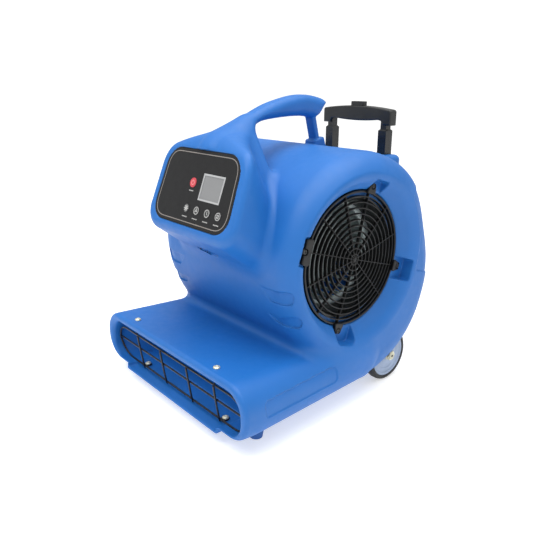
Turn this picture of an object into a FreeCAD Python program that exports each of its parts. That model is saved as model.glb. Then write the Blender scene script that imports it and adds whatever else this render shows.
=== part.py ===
import FreeCAD, Part
from FreeCAD import Vector as V
import math
import os

os.makedirs("parts", exist_ok=True)

# Air mover (floor and carpet blower).  Millimetres, +Z up, +X to the right-hand inlet,
# -Y is the outlet side.  The origin is on the floor under the centre of the bounding box.

# ------------------------------------------------------------------ driving dimensions
SHIFT_Y = 66.5            # moves the drawing origin to the middle of the footprint
WALL = 5.0                # moulded shell wall

DUCT_HW = 192.5           # outlet mouth half width
DUCT_Y0 = -285.0          # outlet lip
DUCT_Z0, DUCT_Z1 = 17.0, 108.0
DUCT_R = 40.0

DRUM_HW = 182.0           # fan drum half width
DRUM_EDGE = 50.0          # roundover between the drum skin and its sides
DRUM_C = (-36.0, 226.0)   # centre the drum radii are measured from (y, z)
DRUM_RADII = [(-88, 210), (-68, 211), (-50, 203), (-30, 190), (-10, 178.5), (15, 163), (40, 167),
              (65, 166), (90, 160.5), (125, 153), (160, 146.5), (190, 146), (220, 154), (246, 176)]

INLET_C = (-50.7, 231.9)  # inlet axis (y, z)
FLANGE_X = 154.0          # outer face of the inlet flange
SEAT_X = 160.0            # floor of the four lug pockets
INLET_R = 92.0            # hole through the flange
GRILLE_R = 103.0
LUG_ANG = [-17.0, 73.0, 163.0, 253.0]
LUG_R = 111.0

POD_HW = 113.0
PANEL_O = (-218.8, 335.75)  # centre of the control fascia (y, z)
PANEL_TILT = math.degrees(math.atan2(42.8, 109.9))
PANEL_H = 118.0
PANEL_HW_TOP, PANEL_HW_BOT = 92.4, 100.0
PANEL_R = 28.0
FASCIA_T = 3.0

TUBE_X, TUBE_Y = 61.5, 137.0
TUBE_OX, TUBE_OY, TUBE_T = 17.0, 18.0, 1.5
INNER_X, INNER_Y, INNER_T = 12.0, 12.6, 1.2
TUBE_Z0, TUBE_Z1 = 62.0, 395.0
SPINE_HW, SPINE_Y1, SPINE_Z1 = 91.0, 152.0, 363.0
GRIP_Z = 411.0            # underside of the grip legs, handle down
TROLLEY_TRAVEL = 300.0

WHEEL_Y, WHEEL_Z, WHEEL_R = 45.5, 45.0, 45.0
WHEEL_X0, WHEEL_X1 = 150.0, 168.0
HUB_R = 37.5
WELL_X0, WELL_X1 = 146.0, 171.0   # wheel well between the axle web and the outer skirt
AXLE_R = 6.0

SHAFT_R = 6.0
RUN = 0.04                # radial running clearance
IMP_R = 94.0
IMP_RI = 77.0
IMP_HW = 116.0
BLADES = 36

# ------------------------------------------------------------------ helpers


def export(name, shape):
    s = shape.copy()
    s.translate(V(0, SHIFT_Y, 0))
    s.exportStep("parts/" + name + ".step")
    b = s.BoundBox
    print("%-24s solids %2d valid %s  x %7.1f %7.1f  y %7.1f %7.1f  z %7.1f %7.1f" % (
        name, len(s.Solids), s.isValid(), b.XMin, b.XMax, b.YMin, b.YMax, b.ZMin, b.ZMax))


def box(x0, x1, y0, y1, z0, z1):
    return Part.makeBox(x1 - x0, y1 - y0, z1 - z0, V(x0, y0, z0))


def rbox(x0, x1, y0, y1, z0, z1, r, axis="z"):
    b = box(x0, x1, y0, y1, z0, z1)
    keep = []
    for e in b.Edges:
        d = e.tangentAt(e.FirstParameter)
        if abs({"x": d.x, "y": d.y, "z": d.z}[axis]) > 0.9:
            keep.append(e)
    return b.makeFillet(r, keep)


def cyl_x(x0, x1, r, y, z):
    return Part.makeCylinder(r, x1 - x0, V(x0, y, z), V(1, 0, 0))


def cyl_z(r, z0, z1, x, y):
    return Part.makeCylinder(r, z1 - z0, V(x, y, z0), V(0, 0, 1))


def ring_x(x0, x1, ro, ri, y, z):
    return cyl_x(x0, x1, ro, y, z).cut(cyl_x(x0 - 1, x1 + 1, ri, y, z))


def mirror(s):
    return s.mirror(V(0, 0, 0), V(1, 0, 0))


def fuse(parts):
    parts = list(parts)
    r = parts[0]
    for p in parts[1:]:
        r = r.fuse(p)
    return r


def compound(parts):
    out = []
    for p in parts:
        out += p.Solids
    return Part.makeCompound(out)


def revolve_x(pts, y, z):
    """pts are (x, r); revolved about the X direction through (y, z)."""
    vs = [V(x, y, z + r) for x, r in pts]
    w = Part.makePolygon(vs + [vs[0]])
    return Part.Face(w).revolve(V(0, y, z), V(1, 0, 0), 360)


def extrude_x(yz, hw):
    vs = [V(-hw, y, z) for y, z in yz]
    w = Part.makePolygon(vs + [vs[0]])
    return Part.Face(w).extrude(V(2 * hw, 0, 0))


def spline_x(yz, x0, x1):
    c = Part.BSplineCurve()
    c.interpolate([V(x0, y, z) for y, z in yz], PeriodicFlag=True)
    return Part.Face(Part.Wire([c.toShape()])).extrude(V(x1 - x0, 0, 0))


def fillet_try(shape, radii, pick):
    es = [e for e in shape.Edges if pick(e)]
    for r in radii:
        try:
            f = shape.makeFillet(r, es)
            if f.isValid() and f.Volume > 0:
                return f
        except Exception:
            pass
    print("fillet skipped")
    return shape


PR = math.radians(PANEL_TILT)
PANEL_V = V(0, math.sin(PR), math.cos(PR))
PANEL_N = V(0, -math.cos(PR), math.sin(PR))


def to_panel(s):
    """local x -> X, local y -> up the fascia, local z -> out of the fascia."""
    m = FreeCAD.Matrix(1, 0, 0, 0,
                       0, PANEL_V.y, PANEL_N.y, PANEL_O[0],
                       0, PANEL_V.z, PANEL_N.z, PANEL_O[1],
                       0, 0, 0, 1)
    return s.transformed(m)


def panel_plate(grow, z0, z1, r):
    """trapezoid plate with rounded corners in local panel coordinates."""
    h = PANEL_H / 2 + grow
    slope = (PANEL_HW_BOT - PANEL_HW_TOP) / PANEL_H
    top = PANEL_HW_TOP + grow - slope * grow
    bot = PANEL_HW_BOT + grow + slope * grow
    w = Part.makePolygon([V(-bot, -h, z0), V(bot, -h, z0), V(top, h, z0), V(-top, h, z0), V(-bot, -h, z0)])
    s = Part.Face(w).extrude(V(0, 0, z1 - z0))
    es = [e for e in s.Edges if abs(e.tangentAt(e.FirstParameter).z) > 0.9]
    return s.makeFillet(r, es)


# ------------------------------------------------------------------ moulded housing


def drum(off):
    pts = []
    for a, r in DRUM_RADII:
        t = math.radians(a)
        pts.append((DRUM_C[0] + (r - off) * math.cos(t), DRUM_C[1] + (r - off) * math.sin(t)))
    hw = DRUM_HW - off
    s = spline_x(pts, -hw, hw)

    def side_edge(e):
        return abs(e.BoundBox.XMax - e.BoundBox.XMin) < 1e-3
    return fillet_try(s, (DRUM_EDGE - off, 38.0, 30.0, 20.0), side_edge)


def duct(off):
    """straight outlet duct with rounded long edges; off > 0 gives the air passage inside it."""
    y0 = DUCT_Y0 if off == 0 else DUCT_Y0 - 1.0
    o = off if off == 0 else off + 2.0
    return rbox(-DUCT_HW + o, DUCT_HW - o, y0, 0.0 if off == 0 else -12.0, DUCT_Z0 + o, DUCT_Z1 - o, DUCT_R - o, "y")


def pod(off):
    s = extrude_x([(-246.5 + off * 0.5, 263.5 + off), (-193.0 + off * 0.5, 405.0 - off),
                   (-108.0, 408.0 - off), (-70.0, 384.0), (-80.0, 300.0), (-150.0, 225.0 + off)], POD_HW - off)
    # rounded shoulders along both sides of the pod
    long_e = [e for e in s.Edges if e.BoundBox.XMax - e.BoundBox.XMin < 1e-3
              and e.BoundBox.ZMax > 262 and e.BoundBox.YMin < -107]
    try:
        return s.makeFillet(24.0 - off, long_e)
    except Exception:
        print("pod fillet skipped")
        return s


def carry_handle():
    hw = 17.0
    # blade that rises from the pod, runs level and ends in a rounded tip, with the hand opening below it
    side = [(-185.0, 404.0), (-143.0, 431.0), (-104.0, 446.0), (-60.0, 457.0), (-5.0, 463.0), (30.0, 461.0),
            (50.0, 456.0), (56.0, 449.5), (46.0, 440.0), (31.0, 427.0), (10.0, 427.5), (-30.0, 430.0),
            (-70.0, 428.5), (-95.0, 425.0), (-110.0, 415.0), (-112.0, 400.0), (-122.0, 385.0), (-160.0, 380.0)]
    bar = extrude_x(side, hw)
    es = [e for e in bar.Edges if e.BoundBox.XMax - e.BoundBox.XMin < 1e-3]
    bar = fillet_try(bar, (8.0, 5.0, 3.0), lambda e: e.BoundBox.XMax - e.BoundBox.XMin < 1e-3)
    # slim rear strut and its stepped foot on the drum
    strut = extrude_x([(10.0, 436.0), (24.0, 436.0), (33.0, 380.0), (19.0, 380.0)], 9.0)
    foot = extrude_x([(14.0, 394.0), (35.0, 394.0), (46.0, 368.0), (8.0, 368.0)], 14.0)
    # flared root that carries the handle into the top of the pod
    root = Part.makeLoft([
        Part.makePolygon([V(-78, -150, 396), V(78, -150, 396), V(78, -112, 396), V(-78, -112, 396), V(-78, -150, 396)]),
        Part.makePolygon([V(-30, -150, 416), V(30, -150, 416), V(30, -113, 416), V(-30, -113, 416), V(-30, -150, 416)]),
        Part.makePolygon([V(-17, -143, 430), V(17, -143, 430), V(17, -106, 430), V(-17, -106, 430), V(-17, -143, 430)])],
        True, True)
    return [bar, strut, foot, root]


def recess(grow):
    """dished inlet recess, open outwards; grow thickens the wall left behind it."""
    g = grow
    f = FLANGE_X - g
    return revolve_x([(f, 0.0), (f, 107.0 + g), (SEAT_X - g * 0.4, 107.0 + g), (183.0 - g * 0.6, 130.0 + g),
                      (200.0, 131.0 + g), (200.0, 0.0)], *INLET_C)


def lug_box(grow):
    out = []
    for a in LUG_ANG:
        b = box(SEAT_X - grow, 200.0, 98.0, 122.0 + grow, -11.0 - grow, 11.0 + grow)
        b.rotate(V(0, 0, 0), V(1, 0, 0), a)
        b.translate(V(0, INLET_C[0], INLET_C[1]))
        out.append(b)
    return out


spine = rbox(-SPINE_HW, SPINE_HW, 60.0, SPINE_Y1, 52.0, SPINE_Z1, 14.0, "z")
spine = fillet_try(spine, (9.0, 6.0), lambda e: e.BoundBox.ZMin > SPINE_Z1 - 0.01)

outer = fuse([drum(0.0), duct(0.0), pod(0.0), spine] + carry_handle())

# lower lip roll of the outlet and the two bosses for the front feet
lip = rbox(-132.0, 132.0, DUCT_Y0 + 0.5, DUCT_Y0 + 24.0, DUCT_Z0 - 3.5, DUCT_Z0 + 4.0, 3.4, "x")
outer = outer.fuse(lip)
print("outer", outer.Volume / 1e6, len(outer.Solids))

inner = fuse([drum(WALL), duct(WALL)])
keep_out = [box(-SPINE_HW, SPINE_HW, TUBE_Y - 14.0, 200.0, 0.0, 500.0)]
for m in (False, True):
    r1 = recess(WALL)
    bs = lug_box(WALL)
    if m:
        r1 = mirror(r1)
        bs = [mirror(b) for b in bs]
    keep_out.append(r1)
    keep_out += bs
# wheel wells: material left around each well
ARCH = [(-4.0, -5.0), (-4.0, 24.0), (5.0, 31.0), (19.0, 37.0), (37.0, 44.0), (46.0, 48.0), (59.0, 57.0), (69.0, 66.0),
        (80.0, 77.0), (95.0, 90.0), (150.0, 96.0), (150.0, -5.0)]


def arch_prism(x0, x1, grow):
    vs = [V(x0, y - (grow if y < 0 else 0), z + grow if z > 0 else z) for y, z in ARCH]
    return Part.Face(Part.makePolygon(vs + [vs[0]])).extrude(V(x1 - x0, 0, 0))


for sx in (1, -1):
    a, b = WELL_X0 - WALL, 200.0
    k1, k2 = cyl_x(a, b, WHEEL_R + 10.0, WHEEL_Y, WHEEL_Z), arch_prism(a, b, WALL)
    keep_out += [k1, k2] if sx > 0 else [mirror(k1), mirror(k2)]
inner = inner.cut(Part.makeCompound(keep_out[:1]))
for k in keep_out[1:]:
    inner = inner.cut(k)

shell = outer
for m in (False, True):
    r0 = recess(0.0)
    bs = lug_box(0.0)
    if m:
        r0 = mirror(r0)
        bs = [mirror(b) for b in bs]
    shell = shell.cut(r0)
    for b in bs:
        shell = shell.cut(b)
print("inner", inner.Volume / 1e6, len(inner.Solids), "recessed", shell.Volume / 1e6, len(shell.Solids))
shell = shell.cut(inner)
print("shell", shell.Volume / 1e6, len(shell.Solids))
shell = shell.cut(cyl_x(-170.0, 170.0, INLET_R, *INLET_C).cut(cyl_x(-140.0, 140.0, INLET_R + 5, *INLET_C)))

# wheel wells behind the skirts, and the axle bore through their inner walls
for sx in (1, -1):
    c1 = cyl_x(WELL_X0, WELL_X1, WHEEL_R + 5.0, WHEEL_Y, WHEEL_Z)
    c2 = arch_prism(WELL_X0, 200.0, 0.0)
    for c in (c1, c2):
        shell = shell.cut(c if sx > 0 else mirror(c))
# clearance round each axle nut where the skirt edge comes down over it
for sx in (1, -1):
    c = cyl_x(WELL_X1 - 1.0, 200.0, 10.0, WHEEL_Y, WHEEL_Z)
    shell = shell.cut(c if sx > 0 else mirror(c))
for sx in (1, -1):
    boss = fuse([box(WELL_X0 - 12.0, WELL_X0, WHEEL_Y - 13, WHEEL_Y + 13, 28, 55),
                 cyl_x(WELL_X0 - 12.0, WELL_X0, 13, WHEEL_Y, WHEEL_Z)])
    shell = shell.fuse(boss if sx > 0 else mirror(boss))
shell = shell.cut(cyl_x(-150.0, 150.0, AXLE_R, WHEEL_Y, WHEEL_Z))

# control pod: fascia seat, electronics bay behind it
bay_local = panel_plate(-14.0, -45.0, 0.0, 14.0)
seat_local = panel_plate(0.3, -FASCIA_T, 40.0, PANEL_R)
shell = shell.cut(to_panel(bay_local))
shell = shell.cut(to_panel(seat_local))
wire_hole = Part.makeCylinder(6.0, 70.0, V(-60, -190, 300), V(0, 0.9, -0.43))
shell = shell.cut(wire_hole)

# channels for the two telescopic tubes, closed at the bottom
for sx in (1, -1):
    shell = shell.cut(box(sx * TUBE_X - TUBE_OX / 2, sx * TUBE_X + TUBE_OX / 2,
                          TUBE_Y - TUBE_OY / 2, TUBE_Y + TUBE_OY / 2, TUBE_Z0, 500.0))
# opening and flange seat for the supply inlet in the back of the spine
shell = shell.cut(box(-14.0, 14.0, 117.0, 160.0, 90.0, 110.0))
shell = shell.cut(box(-25.0, 25.0, 149.5, 160.0, 85.0, 115.0))

# screw holes
for x in (-109.6, 109.6):
    shell = shell.cut(cyl_z(2.1, 90.0, 115.0, x, -269.0))
    shell = shell.cut(cyl_z(2.1, 5.0, 30.0, x, -249.0))
for a in LUG_ANG:
    t = math.radians(a)
    y, z = INLET_C[0] + LUG_R * math.cos(t), INLET_C[1] + LUG_R * math.sin(t)
    shell = shell.cut(cyl_x(150.0, 165.0, 1.9, y, z)).cut(cyl_x(-165.0, -150.0, 1.9, y, z))
for x in (-147.0, 147.0):
    shell = shell.cut(cyl_z(4.0, 10.0, 26.0, x, -230.0))

# shallow panel on each side of the duct
for sx in (1, -1):
    p = rbox(-6.0, 6.0, -249.0, -103.0, 57.0, 81.0, 7.0, "x")
    p.translate(V(sx * 195.0, 0, 0))
    shell = shell.cut(p)

print("final", shell.Volume / 1e6, [round(q.Volume / 1e6, 4) for q in shell.Solids])
shell = max(shell.Solids, key=lambda q: q.Volume)
export("housing", shell)

# ------------------------------------------------------------------ inlets
YC, ZC = INLET_C


def polar_box(x0, x1, r0, r1, w, ang, y=YC, z=ZC):
    b = box(x0, x1, r0, r1, -w / 2, w / 2)
    b.rotate(V(0, 0, 0), V(1, 0, 0), ang)
    b.translate(V(0, y, z))
    return b


def dome(r):
    return 5.0 * (1.0 - (r / 100.0) ** 2)


def inlet_ring(flange):
    """bell mouth behind the flange seat: the flange lies on the outer face of the housing flange."""
    pts = [(FLANGE_X, INLET_R + 0.0), (FLANGE_X, 106.5), (FLANGE_X + flange, 106.5), (FLANGE_X + flange, 89.0),
           (FLANGE_X - 6.0, 86.0), (FLANGE_X - 16.0, 82.0), (FLANGE_X - 30.0, 80.0), (FLANGE_X - 30.0, 82.0),
           (FLANGE_X - 16.0, 84.2), (FLANGE_X - 6.0, 88.6), (FLANGE_X - 2.0, 91.9)]
    return revolve_x(pts, YC, ZC)


def grille():
    x0 = FLANGE_X + 6.0
    rings = []
    outer_ring = ring_x(x0, x0 + 8.0, GRILLE_R, GRILLE_R - 4.5, YC, ZC)
    rings.append(outer_ring)
    radii = [8.0, 16.0, 24.0, 32.0, 40.0, 48.0, 56.0, 64.0, 72.0, 80.0, 88.0]
    for r in radii:
        d = dome(r)
        rings.append(ring_x(x0 + d, x0 + 7.0 + d, r + 0.9, r - 0.9, YC, ZC))
    g = rings[0]
    hub = cyl_x(x0 + 4.9, x0 + 12.0, 3.4, YC, ZC)
    for k in range(12):
        ang = k * 30.0 + 13.0
        prof = [(x0 + 1.0 + dome(r), r) for r in (2.0, 40.0, 70.0, 99.5)] + \
               [(x0 + 4.6 + dome(r), r) for r in (99.5, 70.0, 40.0, 2.0)]
        w = Part.makePolygon([V(x, r, -0.9) for x, r in prof] + [V(prof[0][0], prof[0][1], -0.9)])
        sp = Part.Face(w).extrude(V(0, 0, 1.8))
        sp.rotate(V(0, 0, 0), V(1, 0, 0), ang)
        sp.translate(V(0, YC, ZC))
        rings.append(sp)
    rings.append(hub)
    for a in LUG_ANG:
        t = math.radians(a)
        tab = polar_box(SEAT_X, SEAT_X + 3.5, 99.5, LUG_R, 13.0, a).fuse(
            cyl_x(SEAT_X, SEAT_X + 3.5, 6.5, YC + LUG_R * math.cos(t), ZC + LUG_R * math.sin(t)))
        rings.append(tab)
    g = fuse(rings)
    for a in LUG_ANG:
        t = math.radians(a)
        g = g.cut(cyl_x(SEAT_X - 1, SEAT_X + 6, 2.2, YC + LUG_R * math.cos(t), ZC + LUG_R * math.sin(t)))
    return g


export("inlet_ring_right", inlet_ring(6.0))
export("inlet_ring_left", mirror(inlet_ring(3.0)))
gr = grille()
export("inlet_grille_right", gr)
export("inlet_grille_left", mirror(gr))


def pan_screw_x(x_seat, y, z, shank_r, length, head_r, head_h):
    head = Part.makeCone(head_r, head_r * 0.72, head_h, V(x_seat, y, z), V(1, 0, 0))
    s = head.fuse(cyl_x(x_seat - length, x_seat, shank_r, y, z))
    slot = box(x_seat + head_h - 0.9, x_seat + head_h + 1, y - 0.5, y + 0.5, z - 2.0, z + 2.0).fuse(
        box(x_seat + head_h - 0.9, x_seat + head_h + 1, y - 2.0, y + 2.0, z - 0.5, z + 0.5))
    return s.cut(slot)


scr = []
for a in LUG_ANG:
    t = math.radians(a)
    s = pan_screw_x(SEAT_X + 3.5, YC + LUG_R * math.cos(t), ZC + LUG_R * math.sin(t), 1.9, 12.0, 4.2, 2.4)
    scr += [s, mirror(s)]
export("inlet_grille_screws", compound(scr))

# ------------------------------------------------------------------ motor and fan wheel
MX0, MX1 = -72.0, 18.0     # motor case
MR = 58.0
case = ring_x(MX0, MX1, MR, MR - 2.0, YC, ZC)
for k in range(8):
    case = case.cut(polar_box(MX0 + 12, MX1 - 12, MR - 6, MR + 4, 7.0, k * 45.0))
export("motor_case", case)


def end_bell(x, d):
    """cup-shaped end cover with bearing pocket; d is +1 when the cover closes towards +X."""
    pts = [(x, 0.0), (x, MR), (x + 6 * d, MR - 3), (x + 10 * d, 34.0), (x + 15 * d, 19.0), (x + 15 * d, 0.0)]
    b = revolve_x(pts, YC, ZC)
    cav = [(x - 1 * d, 0.0), (x - 1 * d, MR - 6), (x + 3 * d, MR - 7), (x + 7 * d, 30.0), (x + 7 * d, 0.0)]
    b = b.cut(revolve_x(cav, YC, ZC))
    lo, hi = sorted((x + 7 * d - 4 * d, x + 13 * d))
    b = b.cut(cyl_x(min(x - 2 * d, x + 13 * d), max(x - 2 * d, x + 13 * d), 13.0, YC, ZC))
    b = b.cut(cyl_x(min(x, x + 16 * d), max(x, x + 16 * d), SHAFT_R + 1.0, YC, ZC))
    for k in range(6):
        b = b.cut(polar_box(min(x, x + 12 * d), max(x, x + 12 * d), 36.0, 48.0, 8.0, 30 + k * 60.0))
    return b


export("motor_end_left", end_bell(MX0, -1))
export("motor_end_right", end_bell(MX1, 1))
export("motor_bearings", compound([
    ring_x(MX0 - 13.0, MX0 - 4.0, 13.0, SHAFT_R + RUN, YC, ZC),
    ring_x(MX1 + 4.0, MX1 + 13.0, 13.0, SHAFT_R + RUN, YC, ZC)]))
stator = ring_x(-52.0, -2.0, MR - 2.0, 34.0, YC, ZC)
for k in range(24):
    stator = stator.cut(polar_box(-53.0, -1.0, 36.0, 45.0, 3.0, k * 15.0))
export("motor_stator", stator)
export("motor_windings", compound([
    ring_x(-64.0, -52.0, 50.0, 37.0, YC, ZC), ring_x(-2.0, 10.0, 50.0, 37.0, YC, ZC)]))
export("motor_rotor", ring_x(-52.0, -2.0, 33.5, SHAFT_R, YC, ZC))
SHX0, SHX1 = MX0 - 12.5, 66.0
shaft = cyl_x(SHX0, SHX1, SHAFT_R, YC, ZC)
export("motor_shaft", shaft)

# fan wheel: centre plate, curved blades on both sides, two rim rings, hub
PLATE_X = 52.0
plate = ring_x(PLATE_X - 1.5, PLATE_X + 1.5, IMP_R, 12.0, YC, ZC)
hub = ring_x(PLATE_X - 10.0, PLATE_X + 12.0, 14.0, SHAFT_R, YC, ZC)
rims = [ring_x(IMP_HW - 4.0, IMP_HW, IMP_R, IMP_RI, YC, ZC), ring_x(-IMP_HW, -IMP_HW + 4.0, IMP_R, IMP_RI, YC, ZC)]
blade_c = []
t_b = 1.4


def blade(k):
    a0 = 2 * math.pi * k / BLADES
    pts = []
    for r, da in ((IMP_RI + 0.6, 0.0), ((IMP_R + IMP_RI) / 2, 0.030), (IMP_R - 0.6, 0.110)):
        pts.append((r, a0 + da))

    def P(r, a):
        return V(-IMP_HW + 1.0, YC + r * math.cos(a), ZC + r * math.sin(a))
    inner_arc = Part.Arc(P(*pts[0]), P(*pts[1]), P(*pts[2])).toShape()
    q = [(r, a + t_b / r) for r, a in pts]
    outer_arc = Part.Arc(P(*q[2]), P(*q[1]), P(*q[0])).toShape()
    w = Part.Wire([inner_arc, Part.makeLine(P(*pts[2]), P(*q[2])), outer_arc, Part.makeLine(P(*q[0]), P(*pts[0]))])
    return Part.Face(w).extrude(V(2 * IMP_HW - 2.0, 0, 0))


wheel = plate.fuse([hub] + rims)
wheel = wheel.fuse([blade(k) for k in range(BLADES)])
export("fan_wheel", wheel)
export("fan_wheel_nut", cyl_x(PLATE_X + 12.0, PLATE_X + 18.0, 8.0, YC, ZC).cut(cyl_x(0, 100, SHAFT_R, YC, ZC)))

# motor carrier: ring on the left inlet flange, three arms, clamp ring on the motor cover
cx0, cx1 = -(FLANGE_X + 6.0), -(FLANGE_X + 3.0)
carrier = [ring_x(cx0, cx1, 106.0, 97.0, YC, ZC)]
for k in range(3):
    a = 43.0 + 120.0 * k
    carrier.append(polar_box(cx0, cx1, 44.0, 98.0, 12.0, a))
    carrier.append(polar_box(cx0, MX0 - 6.0 + 1.5, 44.0, 47.0, 12.0, a))
    carrier.append(polar_box(MX0 - 9.0, MX0 - 6.0 + 1.5, 44.0, 54.9, 12.0, a))
carrier = fuse(carrier)
bell_solid = revolve_x([(MX0, 0.0), (MX0, MR), (MX0 - 6, MR - 3), (MX0 - 10, 34.0), (MX0 - 15, 19.0), (MX0 - 15, 0.0)], YC, ZC)
carrier = carrier.cut(bell_solid)
export("motor_carrier", max(carrier.Solids, key=lambda q: q.Volume))

# ------------------------------------------------------------------ outlet guard
GR = 1.6
GUARD_HW, GUARD_R = 182.6, 31.0
GUARD_TOP = (-277.0, 98.6)      # y, z of the top wire
GUARD_BOT = (-256.5, 26.2)      # y, z of the bottom wire, set back inside the mouth
GUARD_X = [-106.0, -36.0, 36.0, 106.0]
EYE_X, EYE_Y, TOP_EYE_Y = 109.6, -249.0, -269.0
g_tilt = math.atan2(GUARD_BOT[0] - GUARD_TOP[0], GUARD_TOP[1] - GUARD_BOT[1])
g_h = math.hypot(GUARD_BOT[0] - GUARD_TOP[0], GUARD_TOP[1] - GUARD_BOT[1])


def guard_pt(x, v):
    """point of the tilted guard plane, v measured up from the bottom wire."""
    return V(x, GUARD_BOT[0] - v * math.sin(g_tilt), GUARD_BOT[1] + v * math.cos(g_tilt))


def rod(p, q, r):
    d = q.sub(p)
    return Part.makeCylinder(r, d.Length, p, d)


def perimeter():
    pp = []
    r = GUARD_R
    for cx, cv, a0 in ((GUARD_HW - r, g_h - r, 0), (-GUARD_HW + r, g_h - r, 90), (-GUARD_HW + r, r, 180), (GUARD_HW - r, r, 270)):
        pp.append([guard_pt(cx + r * math.cos(math.radians(a0 + d)), cv + r * math.sin(math.radians(a0 + d))) for d in (0, 45, 90)])
    e = []
    for i in range(4):
        e.append(Part.Arc(*pp[i]).toShape())
        e.append(Part.makeLine(pp[i][2], pp[(i + 1) % 4][0]))
    up = guard_pt(0, 1).sub(guard_pt(0, 0))
    c = Part.Wire([Part.makeCircle(GR, pp[0][0], up)])
    return Part.Wire(e).makePipeShell([c], True, True, 2)


guard = [perimeter(), rod(guard_pt(-GUARD_HW, 36.0), guard_pt(GUARD_HW, 36.0), GR)]
for x in GUARD_X:
    guard.append(rod(guard_pt(x, 0.0), guard_pt(x, g_h), GR))
ez0, ez1 = DUCT_Z0 + 7.0, DUCT_Z1 - 7.0
for x in (-EYE_X, EYE_X):
    guard.append(cyl_z(6.0, ez0, ez0 + 2.4, x, EYE_Y).fuse(box(x - 4.0, x + 4.0, GUARD_BOT[0], EYE_Y, ez0, ez0 + 2.4)))
    guard.append(cyl_z(6.0, ez1 - 2.4, ez1, x, TOP_EYE_Y).fuse(box(x - 4.0, x + 4.0, GUARD_TOP[0], TOP_EYE_Y, ez1 - 2.4, ez1)))
guard = fuse(guard)
for x in (-EYE_X, EYE_X):
    guard = guard.cut(cyl_z(2.1, 20.0, 30.0, x, EYE_Y)).cut(cyl_z(2.1, 94.0, 104.0, x, TOP_EYE_Y))
export("outlet_guard", guard)


def pan_screw_z(x, y, z_seat, up, shank_r, length, head_r, head_h):
    d = 1 if up else -1
    head = Part.makeCone(head_r, head_r * 0.6, head_h, V(x, y, z_seat), V(0, 0, d))
    s = head.fuse(Part.makeCylinder(shank_r, length, V(x, y, z_seat), V(0, 0, -d)))
    zt = z_seat + d * head_h
    lo, hi = sorted((zt - d * 0.9, zt + d))
    cross = box(x - 2.2, x + 2.2, y - 0.5, y + 0.5, lo, hi).fuse(box(x - 0.5, x + 0.5, y - 2.2, y + 2.2, lo, hi))
    return s.cut(cross)


export("outlet_guard_screws", compound([
    pan_screw_z(-EYE_X, TOP_EYE_Y, DUCT_Z1, True, 2.1, 12.0, 5.0, 2.2),
    pan_screw_z(EYE_X, TOP_EYE_Y, DUCT_Z1, True, 2.1, 12.0, 5.0, 2.2),
    pan_screw_z(-EYE_X, EYE_Y, ez0 + 2.4, True, 2.1, 9.4, 5.0, 2.2),
    pan_screw_z(EYE_X, EYE_Y, ez0 + 2.4, True, 2.1, 9.4, 5.0, 2.2)]))

# ------------------------------------------------------------------ control pod
DISP = (12.0, 62.6, -15.0, 24.4)     # window opening in the fascia: x0, x1, up0, up1
PWR = (-8.8, 8.1)
KEYS = [(-8.7, -30.4), (16.9, -30.4), (42.8, -30.4), (68.6, -30.4)]
KEY_R, PWR_R = 6.4, 7.2
KEY_GAP = 0.25

fascia = panel_plate(0.0, -FASCIA_T, 0.0, PANEL_R)
fascia = fascia.cut(box(DISP[0], DISP[1], DISP[2], DISP[3], -10, 10))
for (u, v), r in [(PWR, PWR_R)] + [(k, KEY_R) for k in KEYS]:
    fascia = fascia.cut(cyl_z(r + KEY_GAP, -10, 10, u, v))
export("control_fascia", to_panel(fascia))
win = rbox(DISP[0], DISP[1], DISP[2], DISP[3], -1.6, 0.0, 1.2, "z").fuse(
    box(DISP[0] + 0.0, DISP[1] - 0.0, DISP[2] + 0.0, DISP[3] - 0.0, -2.6, -1.6))
frame = box(DISP[0], DISP[1], DISP[2], DISP[3], -2.6, 0.0).cut(
    box(DISP[0] + 2.6, DISP[1] - 2.6, DISP[2] + 2.6, DISP[3] - 2.6, -3, 1))
pane = box(DISP[0] + 2.6, DISP[1] - 2.6, DISP[2] + 2.6, DISP[3] - 2.6, -2.6, -0.8)
export("display_frame", to_panel(frame))
export("display_window", to_panel(pane))
BZ = -12.6
export("display_module", to_panel(box(DISP[0] + 0.4, DISP[1] - 0.4, DISP[2] + 0.4, DISP[3] - 0.4, BZ, -2.6)))
board = box(-62.0, 76.0, -40.0, 36.0, BZ - 1.6, BZ)
export("control_board", to_panel(board))
export("board_pillars", compound([to_panel(cyl_z(3.0, BZ, -FASCIA_T, u, v)) for u, v in
                                 ((-57.0, -34.0), (-57.0, 31.0), (71.5, -17.0), (71.5, 31.0))]))


def key(u, v, r, crown):
    s = cyl_z(r, -FASCIA_T - 0.1, crown, u, v)
    top = [e for e in s.Edges if e.BoundBox.ZMin > crown - 0.01 and e.BoundBox.XMax - e.BoundBox.XMin > r]
    s = s.makeFillet(0.35, top)
    return s.fuse(cyl_z(r + 1.6, -FASCIA_T - 1.5, -FASCIA_T - 0.1, u, v))


export("power_key", to_panel(key(PWR[0], PWR[1], PWR_R, 0.7)))
for i, (u, v) in enumerate(KEYS):
    export("function_key_%d" % (i + 1), to_panel(key(u, v, KEY_R, 0.7)))
export("key_switches", compound([to_panel(box(u - 3, u + 3, v - 3, v + 3, BZ, -FASCIA_T - 2.2)) for u, v in [PWR] + KEYS]))
cap = Part.makeCylinder(14.0, 66.0, V(-58.0, 4.0, BZ - 1.6 - 14.0), V(1, 0, 0))
export("run_capacitor", to_panel(cap))

# ------------------------------------------------------------------ trolley handle


def tube(x, ox, oy, t, z0, z1):
    a = box(x - ox / 2, x + ox / 2, TUBE_Y - oy / 2, TUBE_Y + oy / 2, z0, z1)
    b = box(x - ox / 2 + t, x + ox / 2 - t, TUBE_Y - oy / 2 + t, TUBE_Y + oy / 2 - t, z0 - 1, z1 + 1)
    return a.cut(b)


SX = (-TUBE_X, TUBE_X)
export("trolley_outer_tubes", compound([tube(x, TUBE_OX, TUBE_OY, TUBE_T, TUBE_Z0, TUBE_Z1) for x in SX]))


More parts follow.
